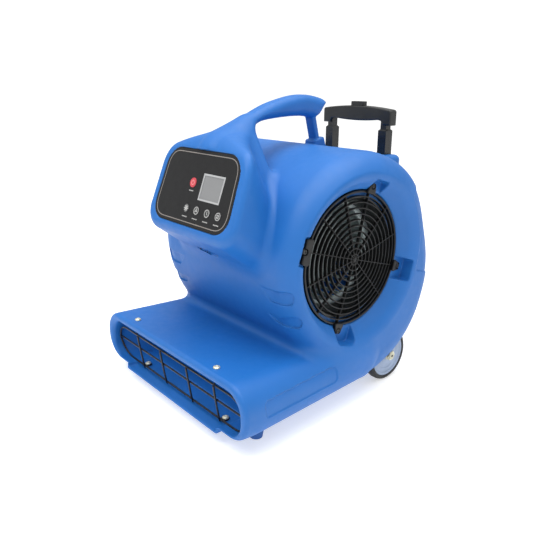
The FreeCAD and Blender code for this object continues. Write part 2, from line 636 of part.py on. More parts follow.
def collar(x):
    ox, oy = TUBE_OX, TUBE_OY
    c = box(x - ox / 2, x + ox / 2, TUBE_Y - oy / 2, TUBE_Y + oy / 2, TUBE_Z1, TUBE_Z1 + 10.0)
    top = [e for e in c.Edges if e.BoundBox.ZMin > TUBE_Z1 + 9.9]
    c = c.makeChamfer(2.4, top)
    c = c.fuse(box(x - ox / 2 + TUBE_T, x + ox / 2 - TUBE_T, TUBE_Y - oy / 2 + TUBE_T, TUBE_Y + oy / 2 - TUBE_T,
                   TUBE_Z1 - 14.0, TUBE_Z1))
    return c.cut(box(x - INNER_X / 2 - RUN, x + INNER_X / 2 + RUN, TUBE_Y - INNER_Y / 2 - RUN, TUBE_Y + INNER_Y / 2 + RUN,
                     300, 450))


export("trolley_collars", compound([collar(x) for x in SX]))
IN_Z0, IN_Z1 = 76.0, 421.0
export("trolley_inner_tubes", compound([tube(x, INNER_X, INNER_Y, INNER_T, IN_Z0, IN_Z1) for x in SX]))
PIN_Z = 70.0


def glide(x):
    gx, gy = TUBE_OX - 2 * TUBE_T - 2 * RUN, TUBE_OY - 2 * TUBE_T - 2 * RUN
    g = box(x - gx / 2, x + gx / 2, TUBE_Y - gy / 2, TUBE_Y + gy / 2, TUBE_Z0 + 0.5, IN_Z0)
    g = g.fuse(box(x - INNER_X / 2 + INNER_T, x + INNER_X / 2 - INNER_T, TUBE_Y - INNER_Y / 2 + INNER_T,
                   TUBE_Y + INNER_Y / 2 - INNER_T, IN_Z0, IN_Z0 + 16.0))
    g = g.cut(cyl_z(2.3, PIN_Z, IN_Z0 + 20.0, x, TUBE_Y))
    return g.cut(cyl_x(x - 20, x + 20, 2.5 + RUN, TUBE_Y, PIN_Z))


export("trolley_glides", compound([glide(x) for x in SX]))
export("lock_pin_right", cyl_x(TUBE_X + 0.6, TUBE_X + 6.8, 2.5, TUBE_Y, PIN_Z))
export("lock_pin_left", mirror(cyl_x(TUBE_X + 0.6, TUBE_X + 6.8, 2.5, TUBE_Y, PIN_Z)))

# grip: arched crown with two square legs
gd = 9.5
GX = 77.5


def arc_pts(x0, z0, xm, zm, n=10):
    """points of a parabola through (-x0, z0), (0, zm), (x0, z0)."""
    out = []
    for i in range(n + 1):
        x = -x0 + 2 * x0 * i / n
        out.append((x, zm + (z0 - zm) * (x / x0) ** 2))
    return out


front = [(-GX, GRIP_Z), (-GX, 434.5), (-GX + 3.0, 438.0)] + arc_pts(GX - 3.5, 438.2, 0, 443.0)[1:-1] + \
        [(GX - 3.0, 438.0), (GX, 434.5), (GX, GRIP_Z), (GX - 19.0, GRIP_Z), (GX - 19.0, 415.5), (GX - 24.0, 418.6)] + \
        [(x, z) for x, z in reversed(arc_pts(GX - 26.0, 418.6, 0, 416.5)[1:-1])] + \
        [(-GX + 24.0, 418.6), (-GX + 19.0, 415.5), (-GX + 19.0, GRIP_Z)]
wv = [V(x, TUBE_Y - gd, z) for x, z in front]
grip = Part.Face(Part.makePolygon(wv + [wv[0]])).extrude(V(0, 2 * gd, 0))
grip = fillet_try(grip, (2.5, 1.5), lambda e: e.BoundBox.ZMin > 434.0 and abs(e.tangentAt(e.FirstParameter).y) < 0.1)
grip = grip.cut(box(-66.0, 66.0, TUBE_Y - 4.0, TUBE_Y + 4.0, 421.0, 431.6))
grip = grip.cut(box(-14.3, 14.3, TUBE_Y - 6.3, TUBE_Y + 6.3, 421.0, 460.0))
for x in SX:
    grip = grip.cut(box(x - INNER_X / 2, x + INNER_X / 2, TUBE_Y - INNER_Y / 2, TUBE_Y + INNER_Y / 2, 400.0, 421.0))
export("trolley_grip", grip)
btn = rbox(-14.0, 14.0, TUBE_Y - 6.0, TUBE_Y + 6.0, 430.0, 450.0, 2.0, "z")
btn = fillet_try(btn, (1.6, 1.0), lambda e: e.BoundBox.ZMin > 449.9)
export("release_button", btn)
rods = [cyl_z(1.9, 80.0, 428.0, x, TUBE_Y) for x in SX]
rods.append(box(-64.0, 64.0, TUBE_Y - 2.5, TUBE_Y + 2.5, 426.0, 430.0))
export("release_rods", fuse(rods))

# ------------------------------------------------------------------ wheels, axle and feet
AX1 = WHEEL_X1 + 7.0
axle = cyl_x(-AX1, AX1, AXLE_R, WHEEL_Y, WHEEL_Z)
export("axle", axle)


def hub_solid():
    h = HUB_R
    pts = [(WHEEL_X0, AXLE_R + RUN), (WHEEL_X0, 13.0), (WHEEL_X0 + 5, 14.0), (WHEEL_X0 + 7, h - 9), (WHEEL_X0 + 2, h - 6),
           (WHEEL_X0 + 1.5, h), (WHEEL_X1 - 1.5, h), (WHEEL_X1 - 0.8, h - 2.5), (WHEEL_X1 - 3.5, h - 5), (WHEEL_X1 - 3.5, 22.0),
           (WHEEL_X1 - 2.2, 20.0), (WHEEL_X1 - 2.2, 15.0), (WHEEL_X1 - 0.8, 13.0), (WHEEL_X1, 11.5), (WHEEL_X1, AXLE_R + RUN)]
    return revolve_x(pts, WHEEL_Y, WHEEL_Z)


def tyre_solid():
    h, r = HUB_R, WHEEL_R
    pts = [(WHEEL_X0 + 1.5, h), (WHEEL_X0 + 0.3, h + 2.0), (WHEEL_X0 + 1.3, r - 2.2), (WHEEL_X0 + 4.5, r), (WHEEL_X1 - 4.5, r),
           (WHEEL_X1 - 1.3, r - 2.2), (WHEEL_X1 - 0.3, h + 2.0), (WHEEL_X1 - 1.5, h)]
    return revolve_x(pts, WHEEL_Y, WHEEL_Z)


hub_r = hub_solid()
tyre_r = tyre_solid()
export("wheel_hub_right", hub_r)
export("wheel_hub_left", mirror(hub_r))
export("tyre_right", tyre_r)
export("tyre_left", mirror(tyre_r))
sp = ring_x(WELL_X0, WHEEL_X0 - 0.1, 11.0, AXLE_R, WHEEL_Y, WHEEL_Z)
wa = ring_x(WHEEL_X1 + 0.1, WHEEL_X1 + 1.1, 9.0, AXLE_R, WHEEL_Y, WHEEL_Z)
export("wheel_spacers", compound([sp, mirror(sp)]))
export("wheel_washers", compound([wa, mirror(wa)]))
hexp = [V(WHEEL_X1 + 1.1, WHEEL_Y + 8.2 * math.cos(math.radians(60 * k)), WHEEL_Z + 8.2 * math.sin(math.radians(60 * k))) for k in range(6)]
nut = Part.Face(Part.makePolygon(hexp + [hexp[0]])).extrude(V(5.0, 0, 0)).cut(cyl_x(100, 200, AXLE_R, WHEEL_Y, WHEEL_Z))
export("axle_nuts", compound([nut, mirror(nut)]))

feet = []
for x in (-147.0, 147.0):
    f = Part.makeCone(9.5, 12.5, DUCT_Z0, V(x, -230.0, 0), V(0, 0, 1))
    feet.append(f.fuse(cyl_z(4.0, DUCT_Z0, DUCT_Z0 + 7.0, x, -230.0)))
export("front_feet", compound(feet))

# ------------------------------------------------------------------ supply inlet at the back
body = box(-14.0, 14.0, 118.0, 149.5, 90.0, 110.0).fuse(box(-25.0, 25.0, 149.5, 152.0, 85.0, 115.0))
body = body.cut(rbox(-12.0, 12.0, 132.0, 160.0, 92.5, 107.5, 2.0, "y"))
export("supply_inlet", body)
export("supply_pins", compound([box(x - 1.0, x + 1.0, 132.0, 148.0, z - 2.0, z + 2.0) for x, z in ((-7.0, 98.5), (0.0, 102.5), (7.0, 98.5))]))
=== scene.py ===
import bpy
import math
import numpy as np
from mathutils import Matrix, Vector
from mathutils.geometry import tessellate_polygon


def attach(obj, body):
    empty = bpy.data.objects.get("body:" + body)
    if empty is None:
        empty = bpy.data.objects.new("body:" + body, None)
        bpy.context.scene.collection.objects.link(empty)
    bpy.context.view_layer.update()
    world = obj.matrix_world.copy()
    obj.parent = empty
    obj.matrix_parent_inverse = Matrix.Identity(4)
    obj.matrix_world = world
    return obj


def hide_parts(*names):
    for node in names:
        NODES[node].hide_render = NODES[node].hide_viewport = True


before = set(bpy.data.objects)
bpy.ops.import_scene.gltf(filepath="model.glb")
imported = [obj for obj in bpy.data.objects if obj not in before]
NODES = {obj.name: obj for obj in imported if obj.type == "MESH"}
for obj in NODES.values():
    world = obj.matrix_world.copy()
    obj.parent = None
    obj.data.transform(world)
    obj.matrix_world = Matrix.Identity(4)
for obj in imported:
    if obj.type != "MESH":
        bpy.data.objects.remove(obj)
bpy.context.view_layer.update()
SHIFT_Y = 66.5          # millimetres between the drawing origin and the frame's origin
f32 = np.float32

# ---------------------------------------------------------------- housing surface as a distance field
# everything in this block is in millimetres: +Z up, -Y the outlet side, drawing origin on the floor
DRUM_C = (-36.0, 226.0)
DRUM_RADII = [(-88, 210), (-68, 211), (-50, 203), (-30, 190), (-10, 178.5), (15, 163), (40, 167),
              (65, 166), (90, 160.5), (125, 153), (160, 146.5), (190, 146), (220, 154), (246, 176)]
INLET_C = (-50.7, 231.9)
LUG_ANG = (-17.0, 73.0, 163.0, 253.0)
PANEL_O = (-218.8, 335.75)
TILT = math.atan2(42.8, 109.9)
PV = (math.sin(TILT), math.cos(TILT))
PN = (-math.cos(TILT), math.sin(TILT))
ARCH = [(-4.0, -40.0), (-4.0, 24.0), (5.0, 31.0), (19.0, 37.0), (37.0, 44.0), (46.0, 48.0), (59.0, 57.0), (69.0, 66.0),
        (80.0, 77.0), (95.0, 90.0), (170.0, 96.0), (170.0, -40.0)]


def smax(a, b, r):
    return np.minimum(-r, np.maximum(a, b)) + np.sqrt(np.maximum(a + r, 0) ** 2 + np.maximum(b + r, 0) ** 2)


def smin(a, b, r):
    return -smax(-a, -b, r)


def closed_spline(pts, per):
    """periodic cubic through the points, chord-length parameter."""
    P = np.array(pts, float)
    n = len(P)
    h = np.linalg.norm(np.roll(P, -1, 0) - P, axis=1)
    A = np.zeros((n, n))
    B = np.zeros((n, 2))
    for i in range(n):
        hp, hn = h[i - 1], h[i]
        A[i, i - 1] += hp
        A[i, i] += 2 * (hp + hn)
        A[i, (i + 1) % n] += hn
        B[i] = 6 * ((P[(i + 1) % n] - P[i]) / hn - (P[i] - P[i - 1]) / hp)
    M = np.linalg.solve(A, B)
    out = []
    for i in range(n):
        j = (i + 1) % n
        for k in range(per):
            t = h[i] * k / per
            u = h[i] - t
            out.append((M[i] * u ** 3 + M[j] * t ** 3) / (6 * h[i]) + (P[i] / h[i] - M[i] * h[i] / 6) * u
                       + (P[j] / h[i] - M[j] * h[i] / 6) * t)
    return np.array(out)


def poly_dist(P, a, b):
    """signed distance to a closed polygon, negative inside."""
    a, b = np.broadcast_arrays(a, b)
    best = np.full(a.shape, 1e12, np.result_type(a, b))
    odd = np.zeros(a.shape, bool)
    n = len(P)
    for i in range(n):
        (y0, z0), (y1, z1) = P[i], P[(i + 1) % n]
        ey, ez = y1 - y0, z1 - z0
        L2 = ey * ey + ez * ez
        if L2 < 1e-12:
            continue
        py, pz = a - y0, b - z0
        t = np.clip((py * ey + pz * ez) / L2, 0, 1)
        best = np.minimum(best, (py - t * ey) ** 2 + (pz - t * ez) ** 2)
        if z0 != z1:
            odd ^= ((z0 > b) != (z1 > b)) & (a < ey * (b - z0) / ez + y0)
    d = np.sqrt(best)
    return np.where(odd, -d, d)


class Table:
    """cubic lookup of a profile's distance in the y-z plane."""

    def __init__(self, P, h=2.0, lo=(-330.0, -30.0), hi=(190.0, 500.0)):
        self.h, self.lo = h, lo
        ys = np.arange(lo[0], hi[0] + h, h)
        zs = np.arange(lo[1], hi[1] + h, h)
        self.T = poly_dist(P, ys[:, None], zs[None, :]).astype(np.float32)
        self.n = self.T.shape

    @staticmethod
    def w(t):
        return (0.5 * (-t + 2 * t ** 2 - t ** 3), 0.5 * (2 - 5 * t ** 2 + 3 * t ** 3),
                0.5 * (t + 4 * t ** 2 - 3 * t ** 3), 0.5 * (-t ** 2 + t ** 3))

    def __call__(self, y, z):
        y, z = np.broadcast_arrays(y, z)
        fy = np.clip((y - self.lo[0]) / self.h, 1, self.n[0] - 3.001)
        fz = np.clip((z - self.lo[1]) / self.h, 1, self.n[1] - 3.001)
        iy, iz = fy.astype(int), fz.astype(int)
        wy, wz = self.w(fy - iy), self.w(fz - iz)
        flat, w = self.T.ravel(), self.n[1]
        out = 0.0
        for i in range(4):
            row = 0.0
            base = (iy + i - 1) * w + iz - 1
            for j in range(4):
                row = row + flat[base + j] * wz[j]
            out = out + row * wy[i]
        return out


def polar(c, table):
    return [(c[0] + r * math.cos(math.radians(a)), c[1] + r * math.sin(math.radians(a))) for a, r in table]


HANDLE = [(-200.0, 392.0), (-192.0, 403.5), (-165.0, 416.0), (-135.0, 429.5), (-106.0, 442.5), (-84.0, 450.8),
          (-62.0, 456.5), (-38.0, 461.3), (-10.0, 463.6), (12.0, 461.6), (29.0, 458.0), (39.0, 454.0), (42.0, 450.6),
          (39.5, 446.5), (34.0, 440.0), (28.0, 432.5), (19.0, 427.8), (4.0, 428.5), (-20.0, 430.6), (-45.0, 430.4),
          (-72.0, 428.8), (-94.0, 426.4), (-108.5, 421.8), (-117.5, 413.0), (-121.5, 400.0), (-123.0, 384.0),
          (-130.0, 366.0), (-160.0, 362.0), (-190.0, 372.0)]
FOOT = [(15.0, 360.0), (16.0, 387.5), (20.0, 391.5), (34.0, 396.0), (37.8, 393.0), (43.9, 376.0), (46.0, 360.0)]
T_DRUM = Table(closed_spline(polar(DRUM_C, DRUM_RADII), 40))
T_HAND = Table(closed_spline(HANDLE, 8), 1.5)
T_ARCH = Table(np.array(ARCH), 1.5)


def plate(x, v, grow, r):
    """rounded trapezoid in the plane of the control fascia."""
    side = (np.abs(x) - (96.2 + grow - 0.0644 * v)) * 0.998
    return smax(side, np.abs(v) - (59.0 + grow), r)


FASCIA_IN, FASCIA_DOWN = 4.2, 2.8      # visible blue margin round the fascia, sideways and up/down


def fascia_plate(x, v, grow):
    side = (np.abs(x) - (96.2 - FASCIA_IN + grow - 0.0644 * v)) * 0.998
    return smax(side, np.abs(v - 0.6) - (59.0 - FASCIA_DOWN + grow), 30.0 + grow)


def slab(t, a, b):
    return np.maximum(a - t, t - b)


def boxd(dx, dy, dz):
    return np.maximum(np.maximum(dx, dy), dz)


# shallow recesses on the front roundover of the drum, drawn in the x-z plane
PADS = [np.array([(98.0, 204.0), (127.0, 203.2), (154.0, 206.8), (157.6, 206.0), (159.0, 202.0), (158.9, 194.5), (157.0, 190.4),
                  (151.5, 186.3), (140.2, 184.7), (117.2, 184.0), (108.0, 192.0)]),
        np.array([(100.0, 161.5), (126.8, 159.6), (155.5, 168.4), (159.6, 168.2), (161.8, 164.5), (162.0, 157.5), (159.6, 152.6),
                  (154.5, 149.1), (139.2, 147.4), (119.3, 148.4)])]


def pads(drum, ax, y, z):
    D, X, Y, Z = np.broadcast_arrays(drum, ax, y, z)
    near = np.abs(D) < 9.0
    if not near.any():
        return drum
    R = np.sqrt((Y - INLET_C[0]) ** 2 + (Z - INLET_C[1]) ** 2)
    m = near & (X > 90.0) & (Y < -130.0) & (Z > 138.0) & (Z < 216.0)
    k = near & (R > 130.0) & (Y > 20.0) & (Z > 170.0) & (Z < 335.0) & (X > 100.0)
    if not (m.any() or k.any()):
        return drum
    out = D.copy()
    if m.any():
        d, px, pz = D[m], X[m], Z[m]
        fade = np.clip((d + 8.0) / 4.0, 0.0, 1.0)
        for poly in PADS:
            w = poly_dist(poly, px, pz)
            depth = 3.0 * np.clip((px - 99.0) / 20.0, 0.0, 1.0)
            d = d + (smax(d, smin(-w, d + depth, 1.0), 1.1) - d) * fade
        out[m] = d
    if k.any():
        d = out[k]
        ang = np.degrees(np.arctan2(Z[k] - INLET_C[1], Y[k] - INLET_C[0]))
        w = smax((np.abs(ang - 9.1) - 26.4) * R[k] * 0.01745, 140.0 - R[k], 3.0)
        w = np.maximum(w, 118.0 - X[k])
        fade = np.clip((d + 7.0) / 4.0, 0.0, 1.0)
        out[k] = d + (smax(d, smin(-w, d + 1.8, 0.6), 0.6) - d) * fade
    return out


def outer(x, y, z, full=True):
    ax = np.abs(x)
    n = (y - PANEL_O[0]) * PN[0] + (z - PANEL_O[1]) * PN[1]
    v = (y - PANEL_O[0]) * PV[0] + (z - PANEL_O[1]) * PV[1]
    # fan drum
    drum = smax(T_DRUM(y, z), ax - 182.0, 50.0 - 12.0 * np.clip((y - 20.0) / 80.0, 0.0, 1.0))
    if full:
        drum = pads(drum, ax, y, z)
    # radius about the inlet axis, used for the dished recess cut in housing()
    R = np.sqrt((y - INLET_C[0]) ** 2 + (z - INLET_C[1]) ** 2)
    # outlet duct
    wd = 192.5 - (y + 285.0) * (9.5 / 285.0)
    zt = 108.0 - (y + 285.0) * (7.0 / 154.0)
    zb = 19.5 + 4.0 * np.clip((-248.0 - y) / 37.0, 0.0, 1.0) ** 2
    duct = smax(ax - wd, np.maximum(z - zt, zb - z), 40.0)
    duct = smax(duct, -285.0 - y, 7.0)
    duct = smax(duct, y + 4.0, 20.0)
    # the valley fillet between deck and drum fades out near the floor
    k = np.clip((z - 45.0) / 40.0, 0.0, 1.0)
    r_val = 5.0 + 15.0 * k * k * (3 - 2 * k)
    body = smin(drum, duct, r_val)
    # rear spine
    sp = smax(ax - 91.0, slab(y, 60.0, 152.0), 14.0)
    sp = smax(sp, slab(z, 52.0, 363.0), 9.0)
    body = smin(body, sp, 5.0)
    # control pod; its top is a ramp that narrows into the carrying handle
    pside = (ax - (109.3 - 0.055 * v)) * 0.998
    plow = (-69.5 + 0.27 * n - v) * 0.965
    t = np.clip((-124.0 - y) / 70.0, 0.0, 1.35)
    zr = 405.2 + (y + 192.0) * 0.4307
    w = 14.5 + 92.0 * t ** 2 + np.clip(zr - z, -20.0, 130.0) * 0.62
    dw = 2 * 92.0 / 70.0 * t
    flank = (ax - w) / np.sqrt(1.0 + dw ** 2 + 0.38)
    top = (z - zr) * 0.9184
    rt = 14.0 + 16.0 * np.clip(t, 0.0, 1.0)
    pod = smax(smax(pside, flank, 22.0), top, rt)
    pod = smax(pod, plow, 32.0)
    pod = smax(pod, n - 0.6, 10.0)
    pod = smax(pod, y + 123.0, 8.0)
    body = smin(body, pod, 13.0)
    # carrying handle, strut and stepped foot
    bar = smax(T_HAND(y, z), ax - 17.0, 13.5)
    body = smin(body, bar, 12.0)
    ss = slab(y - (z - 391.0) * (-0.2730), 19.7, 30.2) * 0.965
    strut = smax(smax(ax - 9.0, ss, 3.0), slab(z, 380.0, 440.0), 2.0)
    body = smin(body, strut, 2.5)
    fs = np.maximum(15.0 - y - (z - 387.0) * 0.03, y - 37.0 + (z - 393.0) * 0.36)
    foot = smax(smax(ax - 13.0, fs, 3.0), z - 391.0 - (y - 20.0) * 0.28, 2.5)
    foot = np.maximum(foot, 365.0 - z)
    body = smin(body, foot, 2.0)
    # rolled lower lip of the outlet
    lip = smax(smax(np.maximum(-287.0 - y, y + 232.0), np.maximum(16.6 - z, z - 42.0), 3.2), ax - 129.0, 5.0)
    body = smin(body, lip, 2.0)
    return body, drum, R, n, v


def inner(x, y, z, R):
    ax = np.abs(x)
    d = smax(T_DRUM(y, z) + 7.5, ax - 172.0, 42.0)
    flare = 4.6 * np.clip((-277.5 - y) / 8.0, 0.0, 1.3) ** 2
    wi = 177.0 - (y + 285.0) * (7.0 / 285.0) + flare
    zt = 93.5 - (y + 285.0) * (3.0 / 154.0) + flare
    zf = 23.4 + 4.0 * np.clip((-248.0 - y) / 37.0, 0.0, 1.0) ** 2
    o = smax(ax - wi, np.maximum(z - zt, zf - z), 30.0)
    o = smin(o, smax(smax(ax - 125.4, 20.0 - z, 4.0), np.maximum(z - 60.0, y + 235.2), 2.0), 2.0)
    o = smax(o, y + 14.0, 10.0)
    d = smin(d, o, 8.0)
    # material kept round the inlet dish, the lug pockets, the wheel wells and the tube channels
    dish = np.maximum(148.5 - ax, (R - 114.5 - np.maximum(ax - 154.0, 0.0) * 0.8) * 0.78)
    d = np.maximum(d, -dish)
    for a in LUG_ANG:
        c, s = math.cos(math.radians(a)), math.sin(math.radians(a))
        rr = (y - INLET_C[0]) * c + (z - INLET_C[1]) * s
        tt = -(y - INLET_C[0]) * s + (z - INLET_C[1]) * c
        pk = POCKETS[a]
        p = np.maximum(np.maximum(slab(tt, pk[0] - 6.0, pk[1] + 6.0), slab(rr, 96.0, pk[2] + 6.0)), 154.5 - ax)
        d = np.maximum(d, -p)
    well = np.maximum(141.0 - ax, np.minimum(np.sqrt((y - 45.5) ** 2 + (z - 45.0) ** 2) - 55.0, T_ARCH(y, z) - 5.0))
    d = np.maximum(d, -well)
    d = np.maximum(d, -np.maximum(ax - 91.0, 123.0 - y))
    return d


def housing(x, y, z):
    body, drum, R, n, v = outer(x, y, z)
    ax = np.abs(x)
    f = body
    # dish and flange seat
    dish = (R - 103.9 - smax(ax - 161.0, 0.0 * ax, 3.0) * 1.12) * 0.75
    dish = smax(dish, 154.0 - ax, 2.5)
    f = smax(f, -dish, 9.0)
    # lug pockets
    for a in LUG_ANG:
        c, s = math.cos(math.radians(a)), math.sin(math.radians(a))
        rr = (y - INLET_C[0]) * c + (z - INLET_C[1]) * s
        tt = -(y - INLET_C[0]) * s + (z - INLET_C[1]) * c
        pk = POCKETS[a]
        p = smax(slab(tt, pk[0], pk[1]), slab(rr, 96.0, pk[2]), pk[3])
        p = smax(p, 160.0 - ax, 1.5)
        f = smax(f, -p, 1.8)
    for o, ua, ub, poly, r0 in GROOVES:
        qx, qy, qz = ax - o[0], y - o[1], z - o[2]
        un = np.cross(ua, ub)
        m = poly_dist(poly, qx * ua[0] + qy * ua[1] + qz * ua[2], qx * ub[0] + qy * ub[1] + qz * ub[2])
        m = smax(m, -(qx * un[0] + qy * un[1] + qz * un[2]) - r0, 2.0)
        f = smax(f, -m, 1.6)
    # cavity
    f = smax(f, -inner(x, y, z, R), 2.6)
    # inlet opening
    f = np.maximum(f, -np.maximum(R - 92.3, 120.0 - ax))
    # wheel wells and the raised skirt edge
    wh = np.maximum(np.sqrt((y - 45.5) ** 2 + (z - 45.0) ** 2) - 50.0, slab(ax, 146.0, 171.0))
    f = smax(f, -wh, 1.5)
    ar = smax(T_ARCH(y, z), 146.0 - ax, 3.0)
    f = smax(f, -ar, 2.2)
    boss = np.maximum(np.sqrt((y - 45.5) ** 2 + (z - 45.0) ** 2) - 13.0, slab(ax, 134.0, 146.0))
    f = np.minimum(f, boss)
    f = np.maximum(f, -np.maximum(np.sqrt((y - 45.5) ** 2 + (z - 45.0) ** 2) - 6.3, slab(ax, 120.0, 151.0)))
    # fascia seat and the bay behind it
    f = smax(f, -smax(fascia_plate(x, v, 0.7), -3.0 - n, 0.8), 1.2)
    f = np.maximum(f, -np.maximum(plate(x, v, -14.0, 14.0), slab(n, -45.0, 10.0)))
    # channels of the telescopic tubes
    ch = smax(slab(ax, 61.5 - 8.8, 61.5 + 8.8), slab(y, 137.0 - 9.3, 137.0 + 9.3), 0.6)
    ch = np.maximum(ch, 61.5 - z)
    f = smax(f, -ch, 0.9)
    # supply inlet seat
    f = np.maximum(f, -boxd(ax - 25.3, 149.2 - y, slab(z, 84.7, 115.3)))
    f = np.maximum(f, -boxd(ax - 14.2, 116.8 - y, slab(z, 89.8, 110.2)))
    # shallow panel on each side of the duct
    pn = smax(slab(y, -249.0, -103.0), slab(z, 57.0, 81.0), 7.0)
    f = smax(f, smin(-np.maximum(pn, 170.0 - ax), body + 1.8, 0.9), 0.9)
    return f


POCKETS = {-17.0: (-21.0, 15.0, 131.0, 5.0), 73.0: (-23.0, 7.0, 121.5, 5.0),
           163.0: (-20.8, 20.8, 115.5, 3.0), 253.0: (-10.0, 31.0, 129.0, 10.0)}
GROOVES = []
SLOT_Y, SLOT_Z = 186.5, 233.0


# ---------------------------------------------------------------- meshing
def to_world(P):
    """drawing millimetres to frame metres."""
    Q = np.array(P, float)
    Q[:, 1] += SHIFT_Y
    return Q / 1000.0


def new_object(name, verts_mm, faces, normals=None, smooth=True, flat_angle=None):
    """faces is an (n, 3 or 4) array or a list of index lists; vertices are drawing millimetres."""
    me = bpy.data.meshes.new(name)
    V = to_world(verts_mm).astype(f32)
    me.vertices.add(len(V))
    me.vertices.foreach_set("co", V.ravel())
    if isinstance(faces, np.ndarray):
        n, k = faces.shape
        loops = faces.astype(np.int32).ravel()
        starts = np.arange(n, dtype=np.int32) * k
        totals = np.full(n, k, np.int32)
    else:
        totals = np.array([len(f) for f in faces], np.int32)
        loops = np.array([i for f in faces for i in f], np.int32)
        starts = np.concatenate([[0], np.cumsum(totals)[:-1]]).astype(np.int32)
    me.loops.add(len(loops))
    me.loops.foreach_set("vertex_index", loops)
    me.polygons.add(len(totals))
    me.polygons.foreach_set("loop_start", starts)
    me.polygons.foreach_set("loop_total", totals)
    me.update(calc_edges=True)
    me.validate()
    me.polygons.foreach_set("use_smooth", np.full(len(me.polygons), bool(smooth)))
    if normals is not None:
        me.normals_split_custom_set_from_vertices([tuple(v) for v in normals.astype(float)])
    o = bpy.data.objects.new(name, me)
    bpy.context.scene.collection.objects.link(o)
    if flat_angle is not None:
        crease(o, flat_angle)
    return o


def crease(o, deg):
    """smooth shading that stays crisp over edges sharper than deg."""
    me = o.data
    me.polygons.foreach_set("use_smooth", np.ones(len(me.polygons), bool))
    import bmesh
    bm = bmesh.new()
    bm.from_mesh(me)
    lim = math.radians(deg)
    for e in bm.edges:
        if len(e.link_faces) == 2 and e.calc_face_angle(0.0) > lim:
            e.smooth = False
    bm.to_mesh(me)
    bm.free()
    me.update()


EDGES12 = []
for _a in range(3):
    _b, _c = [q for q in range(3) if q != _a]
    for _u in (0, 1):
        for _v in (0, 1):
            _s0 = [0, 0, 0]
            _s0[_b], _s0[_c] = _u, _v
            _s1 = list(_s0)
            _s1[_a] = 1
            EDGES12.append((tuple(_s0), tuple(_s1)))


def gradient(fn, P, e):
    x, y, z = P[:, 0], P[:, 1], P[:, 2]
    g = np.empty_like(P)
    g[:, 0] = fn(x + e, y, z) - fn(x - e, y, z)
    g[:, 1] = fn(x, y + e, z) - fn(x, y - e, z)
    g[:, 2] = fn(x, y, z + e) - fn(x, y, z - e)
    return g / (2 * e)


def settle(fn, P, h, steps, keep_x0=None, e=None):
    """moves points onto the zero surface of fn."""
    e = e or 0.25 * h
    for _ in range(steps):
        f = fn(P[:, 0], P[:, 1], P[:, 2])
        g = gradient(fn, P, f32(e))
        L = np.maximum((g ** 2).sum(1), 0.05)
        d = np.clip(f / L, -0.8 * h, 0.8 * h)
        P = P - g * d[:, None]
        if keep_x0 is not None:
            P[keep_x0, 0] = 0.0
    return P


def relax(P, Q, amount, keep_x0=None, fixed=None):
    """moves each point part of the way to the mean of its neighbours."""
    n = len(P)
    a = np.concatenate([Q[:, 0], Q[:, 1], Q[:, 2], Q[:, 3]])
    b = np.concatenate([Q[:, 1], Q[:, 2], Q[:, 3], Q[:, 0]])
    cnt = np.bincount(a, minlength=n) + np.bincount(b, minlength=n)
    out = np.empty_like(P)
    for k in range(3):
        s = np.bincount(a, P[b, k], minlength=n) + np.bincount(b, P[a, k], minlength=n)
        out[:, k] = P[:, k] + amount * (s / np.maximum(cnt, 1) - P[:, k])
    if keep_x0 is not None:
        out[keep_x0, 0] = 0.0
    return out.astype(f32)


